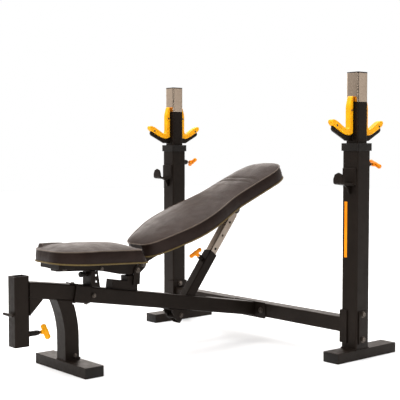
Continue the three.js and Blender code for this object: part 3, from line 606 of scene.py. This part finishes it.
PRESSURE = 3.2
CLOTH_FRAMES = 14
SWELL_CAP = 0.009  # no point of a cover moves further than this


EVENING_PASSES = 6
OWN_SHARE = 0.4  # what a point keeps of its own movement in each pass


def evened(mesh, moved):
    """Averages how far neighbouring points move, so the taut cover keeps only its broad rumples."""
    ends = np.array([edge.vertices for edge in mesh.edges])
    degree = np.bincount(ends.ravel(), minlength=len(moved))[:, None]
    for _ in range(EVENING_PASSES):
        total = np.zeros_like(moved)
        np.add.at(total, ends[:, 0], moved[ends[:, 1]])
        np.add.at(total, ends[:, 1], moved[ends[:, 0]])
        moved = OWN_SHARE * moved + (1 - OWN_SHARE) * total / degree
    return moved


def inflate(piece, held):
    """Cloth simulation: foam pushes the cover out from inside, while seams and the base stay put."""
    scene = bpy.context.scene
    group = piece.vertex_groups.new(name="held")
    for index, weight in held.items():
        group.add([index], weight, "REPLACE")
    cover = piece.modifiers.new("cover", "CLOTH")
    settings = cover.settings
    settings.quality = 6
    settings.mass = 0.35
    settings.air_damping = 4.0
    settings.tension_stiffness = 26.0
    settings.compression_stiffness = 14.0
    settings.shear_stiffness = 9.0
    settings.bending_stiffness = 2.5
    settings.use_pressure = True
    settings.uniform_pressure_force = PRESSURE
    settings.vertex_group_mass = "held"
    settings.pin_stiffness = 4.0
    settings.shrink_min = -0.003
    settings.effector_weights.gravity = 0.0
    cover.point_cache.frame_start = 1
    cover.point_cache.frame_end = CLOTH_FRAMES
    for step in range(1, CLOTH_FRAMES + 1):
        scene.frame_set(step)
    evaluated = piece.evaluated_get(bpy.context.evaluated_depsgraph_get())
    swollen = np.array([v.co for v in evaluated.data.vertices])
    piece.modifiers.remove(cover)
    scene.frame_set(1)
    start = np.array([v.co for v in piece.data.vertices])
    moved = evened(piece.data, swollen - start)
    length = np.linalg.norm(moved, axis=1)
    moved *= (np.minimum(length, SWELL_CAP) / np.maximum(length, 1e-9))[:, None]
    piece.data.vertices.foreach_set("co", (start + moved).ravel())
    piece.data.update()


STITCH_SPACING = 0.0062
STITCH_LENGTH = 0.0042
THREAD_RADIUS = 0.00045
STITCH_STATIONS = (-0.5, -0.25, 0, 0.25, 0.5)  # along a stitch, as shares of its length


def stitch(centre, along, up):
    """One loop of thread, standing slightly out of the cover in its middle."""
    bend = []
    for t in STITCH_STATIONS:
        rise = THREAD_RADIUS * 0.9 * (1 - (2 * t) ** 2)
        bend.append(centre + along * STITCH_LENGTH * t + up * rise)
    return swept(bend, THREAD_RADIUS, 6)


def stitches(points, up):
    """Short thread loops along a path of points."""
    parts = []
    travelled = [0.0]
    for a, b in zip(points, points[1:]):
        travelled.append(travelled[-1] + (b - a).length)
    position = STITCH_SPACING / 2
    while position < travelled[-1] - STITCH_SPACING / 2:
        index = int(np.searchsorted(travelled, position)) - 1
        span = travelled[index + 1] - travelled[index]
        share = (position - travelled[index]) / max(span, 1e-9)
        centre = points[index].lerp(points[index + 1], share)
        along = (points[index + 1] - points[index]).normalized()
        parts.append(stitch(centre, along, up))
        position += STITCH_SPACING
    return parts


PIPING_RADIUS = 0.0024
WELT_RADIUS = 0.0030
SEAM_TO_STITCH = 0.0055  # a row of stitches runs on each side of a seam, on the cover's top
SEAM_TO_TOP = 0.0034


def bead(name, points, radius, material, body):
    """A closed round trim around a cover."""
    mesh = merged(name, [swept(points, radius, 10, closed=True)])
    add_piece(name, mesh, material, body)


def upholster(pad, body, name):
    """The padded cover, its piping, its welt and its stitched seams."""
    vertices, faces, held = pad.build()
    mesh = mesh_from(name, [pad.place @ Vector(v) for v in vertices], faces)
    cover = add_piece(name, mesh, VINYL, body)
    inflate(cover, held)
    settled = [v.co.copy() for v in cover.data.vertices]
    smooth = cover.modifiers.new("smooth", "SUBSURF")
    smooth.levels = 1
    smooth.render_levels = 1
    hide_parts(pad.node)

    turn = pad.place.to_3x3()
    up = turn @ Vector((0, 0, 1))
    outwards = [turn @ Vector((x, y, 0)) for x, y in pad.outward]
    rim = [settled[k] + out * 0.0006 - up * 0.0004 for k, out in zip(pad.ring_top, outwards)]
    # The piping's lightened colour paints a highlight along the cover's top edge.
    bead(f"{name}_piping", rim, PIPING_RADIUS, PIPING_LIGHTENED_AS_HIGHLIGHT, body)
    foot = [settled[k] + out * 0.0014 + up * 0.0026 for k, out in zip(pad.ring_low, outwards)]
    bead(f"{name}_welt", foot, WELT_RADIUS, WELT, body)

    rows = []
    for path in pad.seam_paths:
        inner = path[2:-2]
        for offset in (-SEAM_TO_STITCH, SEAM_TO_STITCH):
            shift = turn @ Vector((offset, 0, 0))
            rows += stitches([settled[k] + shift + up * SEAM_TO_TOP for k in inner], up)
    if rows:
        add_piece(f"{name}_stitching", merged(f"{name}_stitching", rows), THREAD, body)


SEAT_SLOPE = -2.45  # degrees
SEAT_PLACE = side_place(-744, 401, SEAT_SLOPE)
SEAT_FRONT = -0.326  # along the slope, from SEAT_PLACE
SEAT_REAR = 0.056
SEAT_HALF = 0.145
SEAT_FRONT_RADIUS = 0.112
SEAT_REAR_RADIUS = 0.042
SEAT_REAR_LEAN = 0.038
SEAT_PIPING = 0.0455
SEAT_NOSE_START = -0.17  # where the piping begins to drop
SEAT_NOSE_LENGTH = 0.15
SEAT_NOSE_DROP = 0.006
SEAT_RIDGE = 0.0575
SEAT_RIDGE_SPAN = (-0.293, -0.150)  # its front and rear ends, along the seat
SEAT_RIDGE_FADES = (0.006, 0.030)
BACK_SLOPE = 23
BACK_PLACE = side_place(0, 0, BACK_SLOPE)
BACK_BASE = 0.617  # square to the slope, from the floor below the uprights to the pad's underside
BACK_RING = 0.667  # likewise, to the widest ring of its CAD solid
BACK_PIPING = 0.056
BACK_SEAMS = (0.155, 0.190)


def seat_half(s):
    """The seat's half width: straight sides, with a large radius in front and a small one at the rear."""
    front = max(0.0, SEAT_FRONT + SEAT_FRONT_RADIUS - s)
    rear = max(0.0, s - (SEAT_REAR - SEAT_REAR_RADIUS))
    lost_front = SEAT_FRONT_RADIUS - math.sqrt(max(0.0, SEAT_FRONT_RADIUS ** 2 - front ** 2))
    lost_rear = SEAT_REAR_RADIUS - math.sqrt(max(0.0, SEAT_REAR_RADIUS ** 2 - rear ** 2))
    return SEAT_HALF - lost_front - lost_rear


def seat_edge(s):
    """The piping's height above the seat's board: it drops towards the rounded front."""
    share = min(1.0, max(0.0, (SEAT_NOSE_START - s) / SEAT_NOSE_LENGTH))
    return SEAT_PIPING - SEAT_NOSE_DROP * share ** 1.6


def left_ridge(s, share):
    """The height of a low stiff ridge along the left front side of the seat, with soft ends."""
    (front, rear), (front_fade, rear_fade) = SEAT_RIDGE_SPAN, SEAT_RIDGE_FADES
    along = np.clip((s - front) / front_fade, 0, 1) * np.clip((rear - s) / rear_fade, 0, 1)
    across = np.clip((share - 0.70) / 0.08, 0, 1) * np.clip((1.0 - share) / 0.04, 0, 1)
    return seat_edge(s) + (SEAT_RIDGE - seat_edge(s)) * along * across


def back_outline(place):
    """Stations and half widths along the backrest pad, read from the widest ring of its CAD solid."""
    inverse = place.inverted()
    points = np.array([inverse @ v.co for v in nodes["back_pad"].data.vertices])
    on_ring = np.abs(points[:, 2] - (BACK_RING - BACK_BASE)) < 0.0004
    on_left = points[:, 1] > -1e-6
    outline = points[on_ring & on_left]
    stations = np.unique(np.round(outline[:, 0], 5))
    widths = [outline[np.abs(outline[:, 0] - s) < 2e-5, 1].max() for s in stations]
    return stations, np.array(widths)


def make_pads():
    """The seat and the backrest."""
    seat = Pad(
        "seat_pad", SEAT_PLACE, SEAT_FRONT, SEAT_REAR, seat_half, edge=seat_edge, crown=0.0185,
        side_power=2.3, front_reach=0.20, rear_reach=0.13, rear_lean=SEAT_REAR_LEAN, skirt=0.006,
        ridge=left_ridge,
    )
    upholster(seat, "seat", "seat_cover")
    lifted = BACK_PLACE @ Matrix.Translation(Vector((0, 0, BACK_BASE)))
    stations, widths = back_outline(lifted)
    back = Pad(
        "back_pad", lifted, stations[0], stations[-1], lambda s: np.interp(s, stations, widths),
        edge=lambda s: BACK_PIPING, crown=0.015, side_power=4.0, front_reach=0.07, rear_reach=0.07,
        front_lean=0.003, seams=BACK_SEAMS,
    )
    upholster(back, "backrest", "back_cover")


# ---------------------------------------------------------------- pins, bushes and bolts


GRIP_HALF = 0.031
GRIP_GIRTH = 0.0092
GRIP_WAIST = 0.92  # the finger grooves, as a share of the girth
# A grip's rounded end: how far in from the end, and its radius as a share of the girth.
GRIP_END = ((0.0, 0.0), (0.0006, 0.45), (0.0028, 0.80), (0.0070, 1.0))
HUB = ((-0.020, 0.0058), (-0.0185, 0.0082), (-0.008, 0.0090), (0.002, 0.0076))


def pull_handle(name, node, tip, axis, bar, reach, body, material=None, girth=GRIP_GIRTH):
    """A moulded T-handle on a steel plunger, in place of the CAD pin.

    tip is the plunger's inner end, axis points outwards, bar runs along the grip, and reach is the
    distance from the tip to the grip.
    """
    along = Vector(axis).normalized()
    centre = Vector(tip) + along * reach
    grooves = [(-0.012, girth * GRIP_WAIST), (-0.004, girth), (0.004, girth), (0.012, girth * GRIP_WAIST)]
    grip = [(inwards - GRIP_HALF, girth * share) for inwards, share in GRIP_END] + grooves
    grip += [(GRIP_HALF - inwards, girth * share) for inwards, share in reversed(GRIP_END)]
    parts = [turned(grip, centre, bar, 20), turned(HUB, centre, along, 20)]
    handle = add_piece(name, merged(name, parts), material or HANDLE, body)
    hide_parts(node)
    shaft = [(0.0, 0.0038), (0.0016, 0.0050), (reach - 0.012, 0.0050)]
    steel = merged(f"{name}_plunger", [turned(shaft, tip, along, 20)])
    add_piece(f"{name}_plunger", steel, CHROME, body)


def bush(name, node, start, axis, length, radius, body):
    """A threaded pin housing: a hex nut, a ribbed barrel and a tapered nose."""
    along = Vector(axis).normalized()
    profile = [(0.011, radius * 0.92), (0.012, radius)]
    for groove in (0.58, 0.75):
        profile += [
            (length * (groove - 0.03), radius), (length * groove, radius * 0.93),
            (length * (groove + 0.03), radius),
        ]
    profile += [(length * 0.93, radius * 0.84), (length, radius * 0.70)]
    nut = [(0.0, radius * 1.08), (0.0095, radius * 1.08), (0.0112, radius * 0.95)]
    parts = [turned(profile, start, along, 28), turned(nut, start, along, 6)]
    piece = add_piece(name, merged(name, parts), PLASTIC, body)
    soften_edges(piece)
    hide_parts(node)


TURNED_EDGE = 0.0004


def soften_edges(piece):
    """Rounds a turned piece's edges a little and shades its flats flat."""
    edge = piece.modifiers.new("edge", "BEVEL")
    edge.width = TURNED_EDGE
    edge.segments = 2
    edge.limit_method = "ANGLE"
    edge.angle_limit = math.radians(35)
    edge.harden_normals = True


REARWARDS = (1, 0, 0)
POST_PIN_HEIGHT = 768
POST_GRIP_TILT = {"left": -30, "right": 24}  # degrees from level
RECEIVER_PIN_HEIGHT = 156
STRUT_PIVOT = (-448.0, 149.0)  # x and z
STRUT_TOP = (-130.3, 566.0)
STRUT_FIRST_HOLE = 0.063  # down from the strut's top
STRUT_HOLE_PITCH = 0.068
STRUT_PIN_HOLE = 3  # counted from 0 at the first hole
STRUT_GRIP_TURN = 0.71  # radians between the strut and its pin's grip


def make_post_pins():
    """The pull pins behind the uprights, each in its housing."""
    for side_name, side in SIDES:
        y = side * UPRIGHT_Y
        tilt = math.radians(POST_GRIP_TILT[side_name])
        bar = (0, math.cos(tilt), math.sin(tilt))
        pull_handle(
            f"{side_name}_pin_handle", f"{side_name}_post_pin", at(30.65, y, POST_PIN_HEIGHT), REARWARDS,
            bar, 0.085, f"{side_name}_lock",
        )
        bush(
            f"{side_name}_pin_bush", f"{side_name}_pin_housing", at(38.4, y, POST_PIN_HEIGHT), REARWARDS,
            0.042, 0.012, "stand",
        )


def make_receiver_pin():
    """The thick pull pin behind the receiver, in its housing."""
    pull_handle(
        "receiver_pin_handle", "receiver_pin", at(-1153.5, 0, RECEIVER_PIN_HEIGHT), REARWARDS,
        (0, -40, -46), 0.084, "receiver_lock", LINER, girth=0.0112,
    )
    bush(
        "receiver_pin_bush", "receiver_pin_housing", at(-1149.7, 0, RECEIVER_PIN_HEIGHT), REARWARDS,
        0.054, 0.010, "stand",
    )


def make_strut_pin():
    """The pull pin square to the strut, in one of its row of holes."""
    run, climb = STRUT_TOP[0] - STRUT_PIVOT[0], STRUT_TOP[1] - STRUT_PIVOT[1]
    strut = side_place(*STRUT_PIVOT, math.degrees(math.atan2(climb, run)))
    station = math.hypot(run, climb) * MM - STRUT_FIRST_HOLE - STRUT_PIN_HOLE * STRUT_HOLE_PITCH
    turn = strut.to_3x3()
    bar = Vector((math.cos(STRUT_GRIP_TURN), -math.sin(STRUT_GRIP_TURN), 0))
    pull_handle(
        "strut_pin_handle", "strut_pin", strut @ Vector((station, 0, 0.0183)), turn @ Vector((0, 0, 1)),
        turn @ bar, 0.0505, "strut_lock",
    )


def make_seat_pin():
    """The seat pin's round knob."""
    knob = [
        (0.0, 0.005), (0.0148, 0.005), (0.0150, 0.0080), (0.0205, 0.0078), (0.0222, 0.0096), (0.0250, 0.0109),
        (0.0330, 0.0110), (0.0362, 0.0094), (0.0370, 0.0),
    ]
    mesh = merged("seat_pin_knob", [turned(knob, at(-884, 0, 354), (-1, 0, 0), 28)])
    piece = add_piece("seat_pin_knob", mesh, PLASTIC, "seat_lock")
    soften_edges(piece)
    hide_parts("seat_pin")


RAIL_JOINT = (-957.0, 289.2)  # two points along the sloping rail, x and z
RAIL_END = (-30.0, 130.5)


def make_stand_bolts():
    """The bolts of the rail, of the front leg and its foot, and at both ends of the crossbar."""
    slope = math.atan2(RAIL_END[1] - RAIL_JOINT[1], RAIL_END[0] - RAIL_JOINT[0])
    rail_up = (-math.sin(slope), 0, math.cos(slope))
    rail_down = (math.sin(slope), 0, -math.cos(slope))
    places = []
    for side in (-1, 1):
        places.append((at(-878, side * 34.2, 274), (0, side, 0), 0.0070))
        places.append((at(-961, side * 30.0, 57), (0, side, 0), 0.0062))
        places.append((at(-35.4, side * 72, 129.5), (-1, 0, 0), 0.0100))
    places.append((at(-960, -12, 324.2), rail_up, 0.0070))
    places.append((at(-892, 0, 243.6), rail_down, 0.0070))
    places.append((at(-936, 0, 45.4), (0, 0, 1), 0.0075))
    places.append((at(-938, 0, 58), REARWARDS, 0.0075))
    for _, side in SIDES:
        for z in (80, 179):
            places.append((at(-5, side * (UPRIGHT_Y + 43.6), z), (0, side, 0), 0.0100))
            places.append((at(0, side * (UPRIGHT_Y - 43.6), z), (0, -side, 0), 0.0100))
    bolts("stand_bolts", places, "stand")


def make_pad_bolts():
    """The bolts under the seat and under the backrest, and one on the seat's carrier."""
    seat_down = SEAT_PLACE.to_3x3() @ Vector((0, 0, -1))
    places = [(SEAT_PLACE @ Vector((-0.273, y, -0.0262)), seat_down, 0.0070) for y in (-0.052, 0.052)]
    places.append((at(-835, -22.2, 371), (0, -1, 0), 0.0065))
    bolts("seat_bolts", places, "seat")
    back = BACK_PLACE.to_3x3() @ Vector((0, 0, -1))
    back_places = [(BACK_PLACE @ Vector((s, 0, 0.5898)), back, 0.0065) for s in (-0.30, -0.12, 0.02, 0.175)]
    bolts("back_frame_bolts", back_places, "backrest")


HINGE_BOLTS = {
    "seat_hinge_bolt": "stand", "back_hinge_bolt": "stand", "strut_pivot_bolt": "stand",
    "strut_top_bolt": "backrest",
}


def hinge_bolt(node, body):
    """A hinge bolt with washers and a head at both ends, in place of the CAD bolt."""
    low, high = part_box(node)
    middle = (low + high) / 2
    head = min(high.x - low.x, high.z - low.z) / 2
    thickness = head * 0.72
    shank = Vector((middle.x, low.y + 0.003, middle.z))
    length = high.y - low.y - 0.006
    parts = [turned([(0, head * 0.58), (length, head * 0.58)], shank, (0, 1, 0), 20)]
    for side, face in ((1, high.y - thickness), (-1, low.y + thickness)):
        seat = Vector((middle.x, face - side * 0.0012, middle.z))
        parts.extend(hex_bolt(seat, (0, side, 0), head, thickness - 0.001))
    piece = add_piece(f"{node}_set", merged(f"{node}_set", parts), BOLT, body, smooth=False)
    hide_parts(node)


# ---------------------------------------------------------------- welds, caps and the stripe

WELD = 0.0030
WELD_RIPPLE = 0.16
WELD_Z = FOOT_TOP + 0.8


def rectangle(x0, x1, y0, y1):
    """The four corners of a tube's footprint, just above a foot's top."""
    return [at(x0, y0, WELD_Z), at(x1, y0, WELD_Z), at(x1, y1, WELD_Z), at(x0, y1, WELD_Z)]


def weld(corners, size=1.0, closed=False):
    """A bead with scales along a polyline, its radius a share of the widest weld's."""
    return swept(finely(corners, closed=closed), WELD * size, 8, closed, WELD_RIPPLE)


def make_stand_welds():
    """Around the uprights and the front leg on their feet, and along the front arm's two ends."""
    parts = []
    half = UPRIGHT_HALF
    for _, side in SIDES:
        y = side * UPRIGHT_Y
        parts.append(weld(rectangle(-half, half, y - half, y + half), closed=True))
    parts.append(weld(rectangle(-1003.4, -943.6, -30, 30), closed=True))
    for y in (-30.2, 30.2):
        parts.append(weld([at(-1149.4, y, 228), at(-1149.4, y, 349)], 0.8))
        parts.append(weld([at(-1030, y, 270.6), at(-966, y, 261.8)], 0.8))
    add_piece("stand_welds", merged("stand_welds", parts), POWDER, "stand")


def make_hook_welds():
    """Along both faces of each hook plate, where it meets the sliding post."""
    for side_name, side in SIDES:
        rows = []
        for out in (-1, 1):
            for y in (side * UPRIGHT_Y - 4.6, side * UPRIGHT_Y + 4.6):
                rows.append(weld([at(out * 30.4, y, 862), at(out * 30.4, y, 1008)], 0.7))
        name = f"{side_name}_hook_welds"
        add_piece(name, merged(name, rows), POWDER, f"{side_name}_slider")


LINER_HALF = 12.4
SCREW = ((0.0, 0.0042), (0.0006, 0.0042), (0.0013, 0.0034), (0.0013, 0.0019), (0.0005, 0.0016))
# The upper and the lower screw of the front and of the rear liner, out from the post's centre, and up.
LINER_SCREWS = ((-44, 978), (-129, 918), (44, 978), (124.17, 918))


def make_liner_screws():
    """Countersunk screws that hold each liner to its plate, on both of its sides."""
    for side_name, side in SIDES:
        parts = []
        for x, z in LINER_SCREWS:
            for face in (-1, 1):
                centre = at(x, side * UPRIGHT_Y + face * LINER_HALF, z)
                parts.append(turned(SCREW, centre, (0, face, 0), 20))
        name = f"{side_name}_liner_screws"
        add_piece(name, merged(name, parts), BOLT, f"{side_name}_slider", smooth=False)


CAP_INSET = 1.0  # how far a cap starts inside its foot's end
CAP_PROUD = 2.6
CAP_LOW, CAP_HIGH = 1, FOOT_TOP - 1
CAP_HALF = 36.6
CAP_EDGE = 0.0012
FRONT_FOOT_HALF = 173
FRONT_CAP_X = (-1010, -932)


def cap_span(end, out):
    """The two faces of a cap on a foot's end, the lower one first."""
    return sorted((end - out * CAP_INSET, end + out * CAP_PROUD))


def make_end_caps():
    """Plastic caps on the ends of the feet."""
    parts = []
    for _, side in SIDES:
        y = side * UPRIGHT_Y
        for end, out in ((FOOT_FRONT, -1), (FOOT_REAR, 1)):
            near, far = cap_span(end, out)
            low, high = at(near, y - CAP_HALF, CAP_LOW), at(far, y + CAP_HALF, CAP_HIGH)
            parts.append(rounded_box(low, high, CAP_EDGE))
    for side in (-1, 1):
        near, far = cap_span(side * FRONT_FOOT_HALF, side)
        low, high = at(FRONT_CAP_X[0], near, CAP_LOW), at(FRONT_CAP_X[1], far, CAP_HIGH)
        parts.append(rounded_box(low, high, CAP_EDGE))
    add_piece("foot_end_caps", merged("foot_end_caps", parts), PLASTIC, "stand")


def make_stripe():
    """A plain amber stripe on the right upright's front face."""
    low, high = at(-38.35, -557.5, 402), at(-38.05, -543.5, 622)
    mesh = merged("upright_stripe", [rounded_box(low, high, 0.0001, 1)])
    add_piece("upright_stripe", mesh, HANDLE, "stand", smooth=False)


# ---------------------------------------------------------------- floor and light


FLOOR_HALF = 14


def make_stage():
    """A wide pale floor."""
    corners = [(FLOOR_HALF * x, FLOOR_HALF * y, 0) for x, y in ((-1, -1), (1, -1), (1, 1), (-1, 1))]
    floor = mesh_from("floor", corners, [(0, 1, 2, 3)])
    paint = Paint("studio_floor")
    paint.colour(paint.noise(3.0), (0.88, 0.93, 0.97), (0.90, 0.95, 0.99))
    paint.fixed(Roughness=0.9)
    stage = bpy.data.objects.new("floor", floor)
    stage.data.materials.append(paint.material)
    bpy.context.scene.collection.objects.link(stage)


WARM_LIGHT = (1.0, 0.925, 0.875)


def area_light(name, place, target, size, power):
    """A rectangular soft light at a place, turned to its target."""
    data = bpy.data.lights.new(name, "AREA")
    data.shape = "RECTANGLE"
    data.size, data.size_y = size
    data.energy = power
    data.color = WARM_LIGHT
    light = bpy.data.objects.new(name, data)
    light.location = place
    light.rotation_euler = (Vector(target) - Vector(place)).to_track_quat("-Z", "Y").to_euler()
    bpy.context.scene.collection.objects.link(light)


def ceiling_light():
    """Even light from above, from a wide part of the sky."""
    data = bpy.data.lights.new("ceiling", "SUN")
    data.energy = 1.3
    data.angle = math.radians(80)
    bpy.context.scene.collection.objects.link(bpy.data.objects.new("ceiling", data))


SKY_TOWARDS = Vector((0.26, 0.52, 0.81))  # where the studio's walls and ceiling are brightest
SKY_EDGES = (-0.12, 0.80)  # the cosine from there at which they are darkest and brightest
SKY_STRENGTHS = (0.04, 1.42)


def make_world():
    """A studio, brightest overhead and towards the left and the rear, with a white backdrop."""
    world = bpy.data.worlds.new("studio")
    world.use_nodes = True
    bpy.context.scene.world = world
    tree = world.node_tree
    sky = tree.nodes["Background"]
    sky.inputs["Color"].default_value = (*WARM_LIGHT, 1)
    direction = tree.nodes.new("ShaderNodeTexCoord").outputs["Generated"]
    facing = tree.nodes.new("ShaderNodeVectorMath")
    facing.operation = "DOT_PRODUCT"
    facing.inputs[1].default_value = SKY_TOWARDS.normalized()
    tree.links.new(direction, facing.inputs[0])
    spread = tree.nodes.new("ShaderNodeMapRange")
    spread.interpolation_type = "SMOOTHSTEP"
    spread.inputs["From Min"].default_value = SKY_EDGES[0]
    spread.inputs["From Max"].default_value = SKY_EDGES[1]
    spread.inputs["To Min"].default_value = SKY_STRENGTHS[0]
    spread.inputs["To Max"].default_value = SKY_STRENGTHS[1]
    tree.links.new(facing.outputs["Value"], spread.inputs["Value"])
    tree.links.new(spread.outputs["Result"], sky.inputs["Strength"])
    backdrop = tree.nodes.new("ShaderNodeBackground")
    backdrop.inputs["Color"].default_value = (1, 1, 1, 1)
    path = tree.nodes.new("ShaderNodeLightPath")
    mix = tree.nodes.new("ShaderNodeMixShader")
    tree.links.new(path.outputs["Is Camera Ray"], mix.inputs[0])
    tree.links.new(sky.outputs["Background"], mix.inputs[1])
    tree.links.new(backdrop.outputs["Background"], mix.inputs[2])
    tree.links.new(mix.outputs["Shader"], tree.nodes["World Output"].inputs["Surface"])


def make_lights():
    """Soft light from above and behind, with a weak fill and two cards that the chrome reflects."""
    area_light("overhead", (-0.4, 0.3, 3.8), (0, 0, 0.4), (4.0, 4.0), 120)
    area_light("behind", (2.4, 3.2, 1.9), (0, 0, 0.5), (3.0, 2.0), 40)
    area_light("fill", (-3.4, -1.6, 2.6), (0, 0, 0.6), (1.6, 1.6), 34)
    ceiling_light()
    area_light("camera_card", (-4.0, -4.4, 1.1), (0.5, 0, 0.7), (0.7, 2.0), 20)
    area_light("right_card", (3.2, -3.2, 1.1), (0.4, 0, 0.8), (1.4, 1.8), 4.5)


make_camera()
dress_frame()
make_pads()
make_post_pins()
make_receiver_pin()
make_strut_pin()
make_seat_pin()
make_stand_bolts()
make_pad_bolts()
for bolt_node, bolt_body in HINGE_BOLTS.items():
    hinge_bolt(bolt_node, bolt_body)
make_stand_welds()
make_hook_welds()
make_liner_screws()
make_end_caps()
make_stripe()
make_stage()
make_world()
make_lights()
bpy.context.scene.view_settings.view_transform = "Standard"
